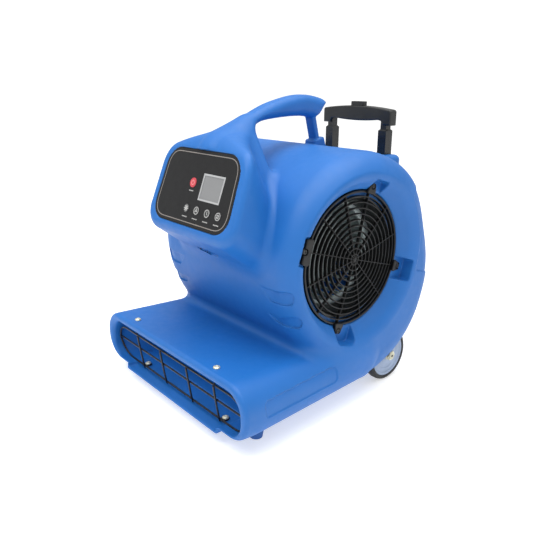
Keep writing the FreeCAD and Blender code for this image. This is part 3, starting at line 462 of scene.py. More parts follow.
def nets(fn, lo, hi, h, mirrored):
    """quad mesh of the zero surface of fn; mirrored fields are solved for x >= 0 and reflected."""
    xs = (np.arange(int(hi[0] / h) + 3) - 0.5) * h if mirrored else np.arange(lo[0], hi[0] + h, h)
    ys = np.arange(lo[1], hi[1] + h, h)
    zs = np.arange(lo[2], hi[2] + h, h)
    xs, ys, zs = xs.astype(f32), ys.astype(f32), zs.astype(f32)
    F = np.empty((len(xs), len(ys), len(zs)), f32)
    for i in range(0, len(xs), 12):
        F[i:i + 12] = fn(xs[i:i + 12, None, None], ys[None, :, None], zs[None, None, :])
    S = F < 0
    c = [S[a:S.shape[0] - 1 + a, b:S.shape[1] - 1 + b, d:S.shape[2] - 1 + d] for a in (0, 1) for b in (0, 1) for d in (0, 1)]
    some, every = c[0].copy(), c[0].copy()
    for q in c[1:]:
        some |= q
        every &= q
    active = some & ~every
    idx = np.full(active.shape, -1, np.int32)
    ci = np.argwhere(active)
    idx[active] = np.arange(len(ci), dtype=np.int32)
    acc = np.zeros((len(ci), 3))
    cnt = np.zeros(len(ci))
    for a, b in EDGES12:
        fa = F[ci[:, 0] + a[0], ci[:, 1] + a[1], ci[:, 2] + a[2]].astype(float)
        fb = F[ci[:, 0] + b[0], ci[:, 1] + b[1], ci[:, 2] + b[2]].astype(float)
        cross = (fa < 0) != (fb < 0)
        t = np.where(cross, fa / np.where(cross, fa - fb, 1.0), 0.0)
        for k in range(3):
            acc[:, k] += np.where(cross, ci[:, k] + a[k] + t * (b[k] - a[k]), 0.0)
        cnt += cross
    P = acc / cnt[:, None] * h + np.array([xs[0], ys[0], zs[0]])
    P = P.astype(f32)
    x0 = (ci[:, 0] == 0) if mirrored else None
    if mirrored:
        P[x0, 0] = 0.0
    quads = []
    for ax in range(3):
        s0 = [slice(None)] * 3
        s1 = [slice(None)] * 3
        s0[ax], s1[ax] = slice(0, -1), slice(1, None)
        ch = S[tuple(s0)] != S[tuple(s1)]
        g = np.argwhere(ch)
        u, v = [(1, 2), (2, 0), (0, 1)][ax]
        ok = (g[:, u] > 0) & (g[:, v] > 0) & (g[:, u] < active.shape[u]) & (g[:, v] < active.shape[v])
        if mirrored and ax != 0:
            ok &= g[:, 0] > 0
        g = g[ok]
        inside = S[g[:, 0], g[:, 1], g[:, 2]]
        cell = []
        for du, dv in ((1, 1), (0, 1), (0, 0), (1, 0)):
            q = g.copy()
            q[:, u] -= du
            q[:, v] -= dv
            cell.append(idx[q[:, 0], q[:, 1], q[:, 2]])
        Q = np.stack(cell, 1)
        Q[~inside] = Q[~inside][:, ::-1]
        quads.append(Q)
    Q = np.concatenate(quads)
    Q = Q[(Q >= 0).all(1)]
    return P, Q, x0


def solid_from(fn, lo, hi, h, mirrored=True, rounds=2, e=None):
    P, Q, x0 = nets(fn, lo, hi, h, mirrored)
    P = settle(fn, P, h, 2, x0)
    for _ in range(rounds):
        P = relax(P, Q, 0.45, x0)
        P = settle(fn, P, h, 2, x0)
    e = f32(e or 0.4 * h)
    N = gradient(fn, P, e)
    if mirrored:
        m = np.full(len(P), -1, np.int64)
        side = np.where(~x0)[0]
        m[side] = len(P) + np.arange(len(side))
        m[x0] = np.where(x0)[0]
        P2, N2 = P[side].copy(), N[side].copy()
        P2[:, 0] *= -1
        N2[:, 0] *= -1
        Q2 = m[Q][:, ::-1]
        P, N, Q = np.concatenate([P, P2]), np.concatenate([N, N2]), np.concatenate([Q, Q2])
    N /= np.linalg.norm(N, axis=1, keepdims=True) + 1e-9
    return P, Q, N


def lathe(name, prof, y, z, seg=96, sx=1, flat=28.0):
    """closed (x, r) profile turned about the X direction."""
    prof = np.array(prof, float)
    n = len(prof)
    a = np.linspace(0, 2 * math.pi, seg, endpoint=False)
    X = np.repeat(prof[:, 0][None, :], seg, 0) * sx
    Y = y + np.cos(a)[:, None] * prof[:, 1][None, :]
    Z = z + np.sin(a)[:, None] * prof[:, 1][None, :]
    P = np.stack([X, Y, Z], -1).reshape(-1, 3)
    q = []
    for i in range(seg):
        j = (i + 1) % seg
        for k in range(n):
            m = (k + 1) % n
            f = [i * n + k, i * n + m, j * n + m, j * n + k]
            q.append(f if sx < 0 else f[::-1])
    Q = np.array(q)
    area = 0.5 * np.sum(prof[:, 0] * np.roll(prof[:, 1], -1) - np.roll(prof[:, 0], -1) * prof[:, 1])
    if area < 0:
        Q = Q[:, ::-1]
    return new_object(name, P, Q, flat_angle=flat)


def turned(prof, seg=96):
    """closed (height, radius) profile turned about its height axis: columns are height, across, across."""
    prof = np.array(prof, float)
    n = len(prof)
    a = np.linspace(0, 2 * math.pi, seg, endpoint=False)
    P = np.stack([np.repeat(prof[:, 0][None, :], seg, 0), np.cos(a)[:, None] * prof[:, 1][None, :],
                  np.sin(a)[:, None] * prof[:, 1][None, :]], -1).reshape(-1, 3)
    area = 0.5 * np.sum(prof[:, 0] * np.roll(prof[:, 1], -1) - np.roll(prof[:, 0], -1) * prof[:, 1])
    F = []
    for i in range(seg):
        j = (i + 1) % seg
        for k in range(n):
            m = (k + 1) % n
            f = [i * n + k, i * n + m, j * n + m, j * n + k]
            F.append(f if area < 0 else f[::-1])
    return P, F


def mirror_x(part):
    V, F = part
    V = np.array(V, float)
    V[:, 0] *= -1
    return V, [list(q)[::-1] for q in F]


def round_profile(pts, r, n=4):
    """rounds every corner of a closed 2-D profile with radius r (or a list of radii)."""
    P = np.array(pts, float)
    out = []
    for i in range(len(P)):
        ri = r[i] if isinstance(r, (list, tuple)) else r
        a, b, c = P[i - 1], P[i], P[(i + 1) % len(P)]
        u, v = a - b, c - b
        lu, lv = np.linalg.norm(u), np.linalg.norm(v)
        u, v = u / lu, v / lv
        ang = math.acos(max(-1, min(1, float(u @ v))))
        if ri <= 0 or ang > math.radians(174):
            out.append(b)
            continue
        t = min(ri / math.tan(ang / 2), 0.45 * lu, 0.45 * lv)
        p0, p1 = b + u * t, b + v * t
        for k in range(n + 1):
            s = k / n
            out.append((1 - s) ** 2 * p0 + 2 * s * (1 - s) * b + s * s * p1)
    return np.array(out)


def sweep(path, r, sides=12, closed=False, squash_n=1.0):
    """round bar along a path of drawing points; returns vertices and faces."""
    P = np.array(path, float)
    n = len(P)
    T = np.zeros_like(P)
    for i in range(n):
        a = P[i - 1] if (closed or i > 0) else P[i]
        b = P[(i + 1) % n] if (closed or i < n - 1) else P[i]
        T[i] = (b - a) / (np.linalg.norm(b - a) + 1e-12)
    up = np.array([0.13, 0.21, 0.97])
    U = np.cross(T[0], up)
    U /= np.linalg.norm(U)
    rows = []
    for i in range(n):
        U = U - T[i] * (U @ T[i])
        U /= np.linalg.norm(U)
        W = np.cross(T[i], U)
        rows.append([P[i] + r * (math.cos(2 * math.pi * k / sides) * U + math.sin(2 * math.pi * k / sides) * W) for k in range(sides)])
    V = np.array(rows).reshape(-1, 3)
    F = []
    for i in range(n if closed else n - 1):
        j = (i + 1) % n
        for k in range(sides):
            m = (k + 1) % sides
            F.append([i * sides + k, i * sides + m, j * sides + m, j * sides + k])
    if not closed:
        F.append(list(range(sides))[::-1])
        F.append([(n - 1) * sides + k for k in range(sides)])
    return V, F


def join(parts):
    V, F, o = [], [], 0
    for v, f in parts:
        V.append(v)
        F += [[i + o for i in q] for q in f]
        o += len(v)
    return np.concatenate(V), F


def panel(u, v, n):
    """control fascia coordinates to drawing coordinates."""
    return np.array([u, PANEL_O[0] + v * PV[0] + n * PN[0], PANEL_O[1] + v * PV[1] + n * PN[1]])


def flat_strokes(lines, width, n0, n1, closed=()):
    """raised printed lines on the fascia: lines are lists of (u, v)."""
    parts = []
    for li, L in enumerate(lines):
        L = np.array(L, float)
        cl = li in closed
        m = len(L)
        left, right = [], []
        for i in range(m):
            a = L[i - 1] if (cl or i > 0) else L[i]
            b = L[(i + 1) % m] if (cl or i < m - 1) else L[i]
            d = b - a
            d = d / (np.linalg.norm(d) + 1e-12)
            nn = np.array([-d[1], d[0]]) * width / 2
            left.append(L[i] + nn)
            right.append(L[i] - nn)
        V = []
        for k in range(m):
            for q in (left[k], right[k]):
                for n in (n0, n1):
                    V.append(panel(q[0], q[1], n))
        F = []
        for k in range(m if cl else m - 1):
            a, b = 4 * k, 4 * ((k + 1) % m)
            F += [[a + 1, b + 1, b + 3, a + 3], [a, a + 2, b + 2, b], [a, b, b + 1, a + 1], [a + 2, a + 3, b + 3, b + 2]]
        if not cl:
            F += [[0, 1, 3, 2], [4 * m - 4, 4 * m - 2, 4 * m - 1, 4 * m - 3]]
        parts.append((np.array(V), F))
    return join(parts)


def disc_fan(poly, n0, n1):
    """raised printed shape on the fascia."""
    m = len(poly)
    V = [panel(p[0], p[1], n0) for p in poly] + [panel(p[0], p[1], n1) for p in poly]
    F = [[k, (k + 1) % m, m + (k + 1) % m, m + k] for k in range(m)]
    F += [list(range(m))[::-1], list(range(m, 2 * m))]
    return np.array(V), F


# ---------------------------------------------------------------- materials
def srgb(r, g, b):
    return tuple(((c / 255.0) / 12.92 if c / 255.0 <= 0.04045 else ((c / 255.0 + 0.055) / 1.055) ** 2.4) for c in (r, g, b)) + (1.0,)


def material(name, col, rough=0.45, metal=0.0, vary=0.06, vscale=35.0, rvary=0.06, rscale=90.0, bump=0.08, bscale=900.0,
             bdist=0.0002, spec=0.5, coat=0.0, coat_rough=0.2, streak=None, alpha=None):
    m = bpy.data.materials.new(name)
    m.use_nodes = True
    nt = m.node_tree
    N, L = nt.nodes, nt.links
    N.clear()
    out = N.new("ShaderNodeOutputMaterial")
    bs = N.new("ShaderNodeBsdfPrincipled")
    L.new(bs.outputs[0], out.inputs[0])
    tc = N.new("ShaderNodeTexCoord")
    mp = N.new("ShaderNodeMapping")
    L.new(tc.outputs["Object"], mp.inputs["Vector"])
    if streak:
        mp.inputs["Scale"].default_value = streak
    n1 = N.new("ShaderNodeTexNoise")
    n1.inputs["Scale"].default_value = vscale
    n1.inputs["Detail"].default_value = 4.0
    L.new(mp.outputs[0], n1.inputs["Vector"])
    rp = N.new("ShaderNodeValToRGB")
    lo = tuple(max(0.0, c * (1 - vary)) for c in col[:3]) + (1.0,)
    hi = tuple(min(1.0, c * (1 + vary) + 0.25 * vary * 0.02) for c in col[:3]) + (1.0,)
    rp.color_ramp.elements[0].position, rp.color_ramp.elements[0].color = 0.35, lo
    rp.color_ramp.elements[1].position, rp.color_ramp.elements[1].color = 0.65, hi
    L.new(n1.outputs["Fac"], rp.inputs["Fac"])
    L.new(rp.outputs["Color"], bs.inputs["Base Color"])
    n2 = N.new("ShaderNodeTexNoise")
    n2.inputs["Scale"].default_value = rscale
    n2.inputs["Detail"].default_value = 3.0
    L.new(mp.outputs[0], n2.inputs["Vector"])
    mr = N.new("ShaderNodeMapRange")
    mr.inputs["From Min"].default_value, mr.inputs["From Max"].default_value = 0.3, 0.7
    mr.inputs["To Min"].default_value, mr.inputs["To Max"].default_value = max(0.02, rough - rvary), min(1.0, rough + rvary)
    L.new(n2.outputs["Fac"], mr.inputs["Value"])
    L.new(mr.outputs[0], bs.inputs["Roughness"])
    n3 = N.new("ShaderNodeTexNoise")
    n3.inputs["Scale"].default_value = bscale
    n3.inputs["Detail"].default_value = 2.0
    L.new(mp.outputs[0], n3.inputs["Vector"])
    bp = N.new("ShaderNodeBump")
    bp.inputs["Strength"].default_value = bump
    bp.inputs["Distance"].default_value = bdist
    L.new(n3.outputs["Fac"], bp.inputs["Height"])
    L.new(bp.outputs[0], bs.inputs["Normal"])
    bs.inputs["Metallic"].default_value = metal
    bs.inputs["Specular IOR Level"].default_value = spec
    bs.inputs["Coat Weight"].default_value = coat
    bs.inputs["Coat Roughness"].default_value = coat_rough
    return m


M = {
    "blue": material("blue_moulded_plastic", srgb(27, 103, 180), rough=0.50, vary=0.05, vscale=9.0, rvary=0.05, bump=0.10,
                     bscale=650.0, bdist=0.00025, spec=0.42),
    # front feet: the housing blue darkened, painted shade standing for the shade under the front of the body
    "foot": material("blue_foot_painted_shade", srgb(30, 88, 160), rough=0.6, vary=0.08, bump=0.2),
    "black": material("black_moulding", srgb(24, 26, 27), rough=0.38, vary=0.15, rvary=0.08, bump=0.10, bscale=1500.0),
    "grille": material("black_grille_plastic", srgb(13, 14, 15), rough=0.42, vary=0.15, rvary=0.08, bump=0.12, bscale=1200.0, spec=0.35),
    "wire": material("black_coated_wire", srgb(18, 18, 20), rough=0.3, vary=0.15, bump=0.12, bscale=2500.0),
    "zinc": material("zinc_plated_steel", srgb(205, 206, 200), rough=0.28, metal=1.0, vary=0.05, rvary=0.1, bump=0.05),
    "nut": material("zinc_nut", srgb(225, 222, 196), rough=0.4, metal=0.55, vary=0.06, rvary=0.1, bump=0.1),
    "steel": material("bright_steel", srgb(190, 192, 195), rough=0.25, metal=1.0, vary=0.05, rvary=0.1, streak=(1, 1, 12)),
    "axle": material("axle_steel", srgb(196, 194, 172), rough=0.4, metal=0.6, vary=0.1),
    "motor": material("motor_enamel", srgb(46, 49, 52), rough=0.42, vary=0.1, bump=0.25, bscale=700.0),
    "copper": material("enamelled_copper", srgb(170, 92, 48), rough=0.35, metal=0.8, vary=0.2, vscale=220.0, bump=0.6,
                       bscale=420.0, streak=(1, 6, 6)),
    "lam": material("steel_laminations", srgb(110, 112, 116), rough=0.4, metal=0.9, vary=0.2, vscale=50.0, bump=0.6,
                    bscale=300.0, streak=(14, 0.2, 0.2)),
    "fan": material("fan_wheel_plastic", srgb(178, 190, 190), rough=0.45, vary=0.12, bump=0.1, bscale=800.0),
    "fascia": material("fascia_film", srgb(35, 35, 36), rough=0.5, vary=0.03, rvary=0.05, bump=0.05, bscale=2500.0, spec=0.18),
    "frame": material("display_bezel", srgb(168, 169, 170), rough=0.4, vary=0.04),
    "pane": material("display_pane", srgb(130, 131, 132), rough=0.35, vary=0.006, vscale=20.0, rvary=0.01, bump=0.0),
    "board": material("circuit_board", srgb(20, 84, 52), rough=0.4, vary=0.25, vscale=260.0, bump=0.3, bscale=500.0),
    "red": material("key_red", srgb(196, 66, 76), rough=0.45, vary=0.06, bump=0.08),
    "key": material("key_dark", srgb(44, 45, 47), rough=0.42, vary=0.06, bump=0.08),
    "print": material("printed_light_grey", srgb(176, 176, 174), rough=0.55, vary=0.05, vscale=300.0),
    "line": material("printed_border", srgb(138, 132, 127), rough=0.5, vary=0.06, vscale=300.0),
    "pale": material("printed_red_symbol", srgb(224, 150, 150), rough=0.5, vary=0.04),
    "tube": material("black_tube_coating", srgb(20, 21, 22), rough=0.28, vary=0.12, rvary=0.08, bump=0.10, bscale=1500.0,
                     streak=(6, 6, 1)),
    "hub": material("grey_wheel_hub", srgb(152, 168, 194), rough=0.45, vary=0.05, rvary=0.06, bump=0.08),
    "tyre": material("black_tyre", srgb(30, 31, 34), rough=0.62, vary=0.15, rvary=0.08, bump=0.35, bscale=1400.0),
    "terminal": material("brass_pins", srgb(200, 170, 96), rough=0.3, metal=1.0, vary=0.08),
}


def paint(o, key):
    o.data.materials.clear()
    o.data.materials.append(M[key])


NODE_LOOK = {
    "housing": "blue", "inlet_ring_right": "black", "inlet_ring_left": "black", "inlet_grille_right": "grille",
    "inlet_grille_left": "grille", "inlet_grille_screws": "black", "motor_case": "motor", "motor_end_left": "motor",
    "motor_end_right": "motor", "motor_bearings": "steel", "motor_stator": "lam", "motor_windings": "copper",
    "motor_rotor": "lam", "motor_shaft": "steel", "fan_wheel": "fan", "fan_wheel_nut": "zinc", "motor_carrier": "motor",
    "outlet_guard": "wire", "outlet_guard_screws": "zinc", "control_fascia": "fascia", "display_frame": "frame",
    "display_window": "pane", "display_module": "key", "control_board": "board", "board_pillars": "black",
    "power_key": "red", "key_switches": "black", "run_capacitor": "motor", "trolley_outer_tubes": "tube",
    "trolley_collars": "black", "trolley_inner_tubes": "tube", "trolley_glides": "black", "lock_pin_right": "steel",
    "lock_pin_left": "steel", "trolley_grip": "black", "release_button": "black", "release_rods": "steel", "axle": "axle",
    "wheel_hub_right": "hub", "wheel_hub_left": "hub", "tyre_right": "tyre", "tyre_left": "tyre",
    "wheel_spacers": "black", "wheel_washers": "zinc", "axle_nuts": "nut", "front_feet": "foot", "supply_inlet": "black",
    "supply_pins": "terminal",
}
for _n, _o in NODES.items():
    paint(_o, NODE_LOOK.get(_n, "key"))


# ---------------------------------------------------------------- housing
def finish_piece(o, body, slot, look, *nodes):
    paint(o, look)
    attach(o, body)
    if nodes:
        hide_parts(*nodes)
    return o


H = 2.0
P, Q, NRM = solid_from(housing, (0.0, -292.0, 6.0), (200.0, 158.0, 470.0), H, True, rounds=2, e=0.8)


SLOT_A, SLOT_B = np.array((-26.0, -199.5, 239.4)), np.array((5.0, -190.4, 232.4))
LIP_A, LIP_B = np.array((-33.0, -201.5, 235.0)), np.array((-6.0, -192.0, 227.5))


def with_slot(x, y, z):
    f = housing(x, y, z)
    u = SLOT_B - SLOT_A
    t = np.clip(((x - SLOT_A[0]) * u[0] + (y - SLOT_A[1]) * u[1] + (z - SLOT_A[2]) * u[2]) / float(u @ u), 0.0, 1.0)
    q = np.sqrt((x - SLOT_A[0] - t * u[0]) ** 2 + (y - SLOT_A[1] - t * u[1]) ** 2 + (z - SLOT_A[2] - t * u[2]) ** 2)
    # rolled lip along the lower side of the slot
    lx, ly, lz = x - LIP_A[0], y - LIP_A[1], z - LIP_A[2]
    w = LIP_B - LIP_A
    s = np.clip((lx * w[0] + ly * w[1] + lz * w[2]) / float(w @ w), 0.0, 1.0)
    p = np.sqrt((lx - s * w[0]) ** 2 + (ly - s * w[1]) ** 2 + (lz - s * w[2]) ** 2)
    f = smin(f, p - 2.3, 1.0)
    return smax(f, 2.6 + 3.2 * t - q, 0.4)


mid = 0.5 * (SLOT_A + SLOT_B)
near = np.sqrt(((P - mid.astype(f32)) ** 2).sum(1)) < 26.0
P[near] = settle(with_slot, P[near], 2.0 * H, 14)
g = gradient(with_slot, P[near], f32(0.6))
NRM[near] = g / (np.linalg.norm(g, axis=1, keepdims=True) + 1e-9)
shell = new_object("housing_shell", P, Q, normals=NRM)
finish_piece(shell, "chassis", "blue_shell", "blue", "housing")

# ---------------------------------------------------------------- trolley grip
GX = 77.5


def arch(x0, z0, zm, n=16):
    return [(-x0 + 2 * x0 * i / n, zm + (z0 - zm) * (-1 + 2 * i / n) ** 2) for i in range(n + 1)]


GRIP_TOP = arch(GX - 3.0, 438.0, 443.2)
GRIP = [(-GX, 411.0), (-GX, 435.0)] + GRIP_TOP + [(GX, 435.0), (GX, 411.0), (GX - 19.0, 411.0), (GX - 19.4, 415.0),
        (GX - 22.0, 418.2), (GX - 27.0, 419.2)] + [(x, z) for x, z in arch(GX - 30.0, 419.2, 416.8)[::-1]] + \
    [(-GX + 27.0, 419.2), (-GX + 22.0, 418.2), (-GX + 19.4, 415.0), (-GX + 19.0, 411.0)]
T_GRIP = Table(np.array(GRIP), 0.75, (-84.0, 404.0), (84.0, 450.0))


def grip_fn(x, y, z):
    yy = y - 137.0
    d = smax(T_GRIP(x, z) , np.abs(yy) - 9.4, 3.6)
    d = smax(d, T_GRIP(x, z), 1.4)
    d = np.maximum(d, -boxd(np.abs(x) - 14.5, np.abs(yy) - 6.5, 421.0 - z))
    d = np.maximum(d, -boxd(np.abs(x) - 66.0, np.abs(yy) - 4.0, slab(z, 421.0, 431.6)))
    d = np.maximum(d, -boxd(np.abs(np.abs(x) - 61.5) - 6.1, np.abs(yy) - 6.4, z - 421.0))
    return d


P, Q, NRM = solid_from(grip_fn, (0.0, 124.0, 406.0), (82.0, 150.0, 448.0), 1.0, True, rounds=1, e=0.4)
finish_piece(new_object("trolley_grip_moulding", P, Q, normals=NRM), "trolley", "black_moulding", "black", "trolley_grip")

# ---------------------------------------------------------------- wheels
SEG = 128
for sx, side in ((1, "right"), (-1, "left")):
    hub = round_profile([(150.0, 6.05), (150.0, 13.0), (155.0, 14.0), (156.5, 30.0), (151.5, 32.0), (151.5, 37.4),
                         (166.3, 37.4), (167.0, 35.6), (166.2, 33.4), (164.6, 32.2), (164.2, 27.0), (165.0, 26.3), (165.0, 25.2),
                         (164.2, 24.5), (164.2, 20.5), (165.4, 19.6), (165.4, 16.6), (166.8, 15.2), (167.6, 11.5), (168.0, 9.8),
                         (168.0, 6.05)], [0.2, 0.5, 1.5, 1.5, 0.5, 0.3, 0.5, 0.8, 0.8, 0.6, 0.8, 0.3, 0.3, 0.8, 0.8, 0.5, 0.8,
                                          0.8, 0.5, 0.4, 0.2])
    o = lathe("wheel_disc_" + side, hub, 45.5, 45.0, SEG, sx)
    finish_piece(o, "wheel_" + side, "hub_grey", "hub", "wheel_hub_" + side)
    tyre = round_profile([(151.6, 37.4), (150.3, 38.6), (150.3, 41.5), (152.6, 44.2), (155.5, 45.0), (162.5, 45.0), (165.4, 44.2),
                          (167.7, 41.5), (167.7, 38.6), (166.4, 37.4)], [0.3, 0.8, 1.6, 2.0, 2.5, 2.5, 2.0, 1.6, 0.8, 0.3], 3)
    o = lathe("tyre_band_" + side, tyre, 45.5, 45.0, SEG, sx)
    finish_piece(o, "wheel_" + side, "tyre_black", "tyre", "tyre_" + side)

axle_end = max(v.co.x for v in NODES["axle"].data.vertices) * 1000.0
for sx, side in ((1, "right"), (-1, "left")):
    dot = round_profile([(axle_end - 0.3, 0.02), (axle_end - 0.3, 2.1), (axle_end + 0.5, 2.1), (axle_end + 0.8, 0.02)], [0, 0.1, 0.4, 0], 3)
    finish_piece(lathe("axle_centre_" + side, dot, 45.5, 45.0, 24, sx), "chassis", "black_moulding", "black")

# ---------------------------------------------------------------- inlet grilles and bell mouths
GX0 = 154.8
RINGS = [8.2, 16.8, 25.4, 33.9, 42.5, 51.1, 59.7, 68.3, 76.8, 85.4, 94.0]


def crown(r):
    return 3.0 * (1.0 - (r / 100.0) ** 2)


def radial(k, prof):
    """ribbon that runs outwards; prof gives (radius, back, front)."""
    a = math.radians(k)
    c, s = math.cos(a), math.sin(a)
    V, F = [], []
    for r, b, f in prof:
        for t, x in ((-0.65, b), (0.65, b), (0.65, f - 0.4), (0.35, f), (-0.35, f), (-0.65, f - 0.4)):
            V.append((x, INLET_C[0] + r * c - t * s, INLET_C[1] + r * s + t * c))
    m = len(prof)
    for i in range(m - 1):
        for j in range(6):
            q = (j + 1) % 6
            F.append([i * 6 + j, i * 6 + q, (i + 1) * 6 + q, (i + 1) * 6 + j])
    F.append([5, 4, 3, 2, 1, 0])
    F.append([(m - 1) * 6 + j for j in range(6)])
    return np.array(V), F


def lug_fn(half, taper):
    def fn(x, y, z):
        # x is the axial coordinate, y across the lug and z outwards from the inlet axis
        d = smax(np.abs(y) - (half - taper * (z - 100.0)), slab(z, 99.0, 112.8 if half > 14 else 116.0), 4.0)
        d = smax(d, slab(x, 160.05, 165.6 if half < 14 else 166.6), 1.2)
        well = np.sqrt(y ** 2 + (z - 111.0) ** 2)
        d = np.maximum(d, -np.maximum(well - 2.15, 159.0 - x))
        return np.maximum(d, -np.maximum(well - 4.9, 163.5 - x))
    return fn


grille = []
rim = round_profile([(GX0, 99.5), (GX0, 102.7), (GX0 + 6.9, 102.7), (GX0 + 6.9, 99.5)], 0.9, 3)
slats = [rim] + [round_profile([(GX0 + crown(r), r - 0.85), (GX0 + crown(r), r + 0.85), (GX0 + 6.2 + crown(r), r + 0.85),
                                (GX0 + 6.2 + crown(r), r - 0.85)], 0.7, 2) for r in RINGS]
slats.append(round_profile([(GX0 + 4.0, 0.05), (GX0 + 4.0, 3.6), (GX0 + 9.6, 3.6), (GX0 + 10.0, 0.05)], [0, 0.5, 1.2, 0], 2))
for prof in slats:
    V, F = turned(prof, 120)
    V[:, 1] += INLET_C[0]
    V[:, 2] += INLET_C[1]
    grille.append((V, F))
for k in range(12):
    st = [3.0, 20.0, 40.0, 60.0, 80.0, 100.5]
    grille.append(radial(-17.0 + 30.0 * k, [(r, GX0 + 1.0 + crown(r), GX0 + 6.3 + crown(r)) for r in st]))
for a in LUG_ANG:
    wide = a == 163.0
    fn = lug_fn(19.5 if wide else 10.0, 0.12 if wide else 0.30)
    V, Q, _n = solid_from(fn, (157.5, -23.0, 96.0), (170.0, 23.0, 120.0), 0.8, False, rounds=1, e=0.3)
    c, s_ = math.cos(math.radians(a)), math.sin(math.radians(a))
    W = np.stack([V[:, 0], INLET_C[0] + V[:, 2] * c - V[:, 1] * s_, INLET_C[1] + V[:, 2] * s_ + V[:, 1] * c], 1)
    grille.append((W, [list(q)[::-1] for q in Q.tolist()]))
throat = []
V, F = turned(round_profile([(154.1, 92.0), (154.1, 92.9), (154.9, 92.9), (154.9, 90.0), (148.0, 86.4), (138.0, 82.6), (124.0, 80.6),
                             (124.0, 82.0), (138.0, 84.2), (148.0, 88.4), (152.0, 91.9)],
                            [0.2, 0.2, 0.2, 2.0, 4.0, 6.0, 0.5, 0.5, 6.0, 4.0, 0.5], 3), 120)
V[:, 1] += INLET_C[0]
V[:, 2] += INLET_C[1]
throat.append((V, F))
for side in ("right", "left"):
    g1, g2 = join(grille), join(throat)
    if side == "left":
        g1, g2 = mirror_x(g1), mirror_x(g2)
    finish_piece(new_object("grille_slats_" + side, g1[0], g1[1], flat_angle=40.0), "chassis", "black_moulding", "grille",
                 "inlet_grille_" + side)
    finish_piece(new_object("inlet_throat_" + side, g2[0], g2[1], flat_angle=40.0), "chassis", "black_moulding", "black",
                 "inlet_ring_" + side)

# ---------------------------------------------------------------- outlet guard
GT, GB = (-273.8, 82.4), (-266.2, 25.3)
g_h = math.hypot(GB[0] - GT[0], GT[1] - GB[1])
g_t = math.atan2(GB[0] - GT[0], GT[1] - GB[1])
GHW, GRAD = 175.2, 32.0


def gp(x, v):
    return np.array([x, GB[0] - v * math.sin(g_t), GB[1] + v * math.cos(g_t)])


ring_pts = []
for cx, cv, a0 in ((GHW - GRAD, g_h - GRAD, 0), (-GHW + GRAD, g_h - GRAD, 90), (-GHW + GRAD, GRAD, 180), (GHW - GRAD, GRAD, 270)):
    for k in range(11):
        a = math.radians(a0 + 9 * k)
        ring_pts.append(gp(cx + GRAD * math.cos(a), cv + GRAD * math.sin(a)))
parts = [sweep(ring_pts, 1.6, 12, closed=True)]
parts.append(sweep([gp(x, 32.6) for x in np.linspace(-GHW + 0.3, GHW - 0.3, 9)], 1.55, 12))
for gx in (-101.2, -31.0, 42.0, 110.5):
    L = []
    for k in range(9):
        s = k / 8.0
        p = gp(gx, -3.0 + (g_h + 3.0) * s)
        p[1] += 1.6 * (1 - s) ** 3 - 2.6
        L.append(p)
    parts.append(sweep(L, 1.55, 12))


def eyelet(x, y, z, wire_y, z0):
    out = []
    ringp = [np.array([x + 5.0 * math.cos(a), y + 5.0 * math.sin(a), z]) for a in np.linspace(0, 2 * math.pi, 24, endpoint=False)]
    out.append(sweep(ringp, 1.3, 10, closed=True))
    out.append(sweep([(x, y - 4.6, z), (x, 0.5 * (y + wire_y) - 2.0, 0.5 * (z + z0)), (x, wire_y, z0)], 1.4, 10))
    return out


for ex in (-109.3, 109.3):
    parts += eyelet(ex, -256.0, 21.4, -266.0, 23.2)
    parts += eyelet(ex, -264.0, 91.9, -273.6, 83.0)
V, F = join(parts)
guard = new_object("outlet_guard_wires", V, F, flat_angle=50.0)
finish_piece(guard, "chassis", "black_wire", "wire", "outlet_guard")

# pan-head screws: two on the deck and two on the outlet floor
screws = []
for sx in (-109.6, 109.6):
    for y0, z0 in ((-269.0, 107.4), (-256.0, 22.4)):
        V, F = turned(round_profile([(-9.0, 0.03), (-9.0, 1.9), (0.0, 1.9), (0.0, 5.1), (1.5, 4.9), (2.7, 3.2), (2.9, 1.5), (2.1, 0.03)],
                                    [0, 0.3, 0.1, 0.3, 0.8, 0.8, 0.3, 0], 3), 32)
        screws.append((np.stack([V[:, 1] + sx, V[:, 2] + y0, V[:, 0] + z0], 1), F))
V, F = join(screws)
finish_piece(new_object("outlet_guard_fixings", V, F, flat_angle=50.0), "chassis", "zinc_steel", "nut", "outlet_guard_screws")

# ---------------------------------------------------------------- prints on the control fascia
def plate_outline(grow, r, n=10):
    h = 59.0 + grow
    slope = 7.6 / 118.0
    top, bot = 92.4 + grow - slope * grow, 100.0 + grow + slope * grow
    pts = [(-bot, -h), (bot, -h), (top, h), (-top, h)]
    return round_profile(pts, r, n)


def fascia_outline(inset, r, n=12):
    h, gx = 59.0 - FASCIA_DOWN - inset, FASCIA_IN + inset
    k = 0.0644 * h
    pts = [(-(96.2 - gx + k), -h + 0.6), (96.2 - gx + k, -h + 0.6), (96.2 - gx - k, h + 0.6), (-(96.2 - gx - k), h + 0.6)]
    return round_profile(pts, r, n)


def pierced_plate(outline, holes, n0, n1):
    """flat plate with openings, lying on the control fascia."""
    loops = [np.array(outline)] + [np.array(q) for q in holes]
    flat = tessellate_polygon([[Vector((p[0], p[1], 0.0)) for p in L] for L in loops])
    Q = np.concatenate(loops)
    m = len(Q)
    V = np.array([panel(u, v, n1) for u, v in Q] + [panel(u, v, n0) for u, v in Q])
    F = []
    for a, b, c in flat:
        s = (Q[b][0] - Q[a][0]) * (Q[c][1] - Q[a][1]) - (Q[b][1] - Q[a][1]) * (Q[c][0] - Q[a][0])
        t = [a, b, c] if s > 0 else [a, c, b]
        F.append(t)
        F.append([i + m for i in t][::-1])
    o = 0
    for j, L in enumerate(loops):
        k = len(L)
        area = sum(L[i - 1][0] * L[i][1] - L[i][0] * L[i - 1][1] for i in range(k))
        for i in range(k):
            a, b = o + i, o + (i + 1) % k
            q = [a, a + m, b + m, b]
            F.append(q if (area > 0) == (j == 0) else q[::-1])
        o += k
    return V, F


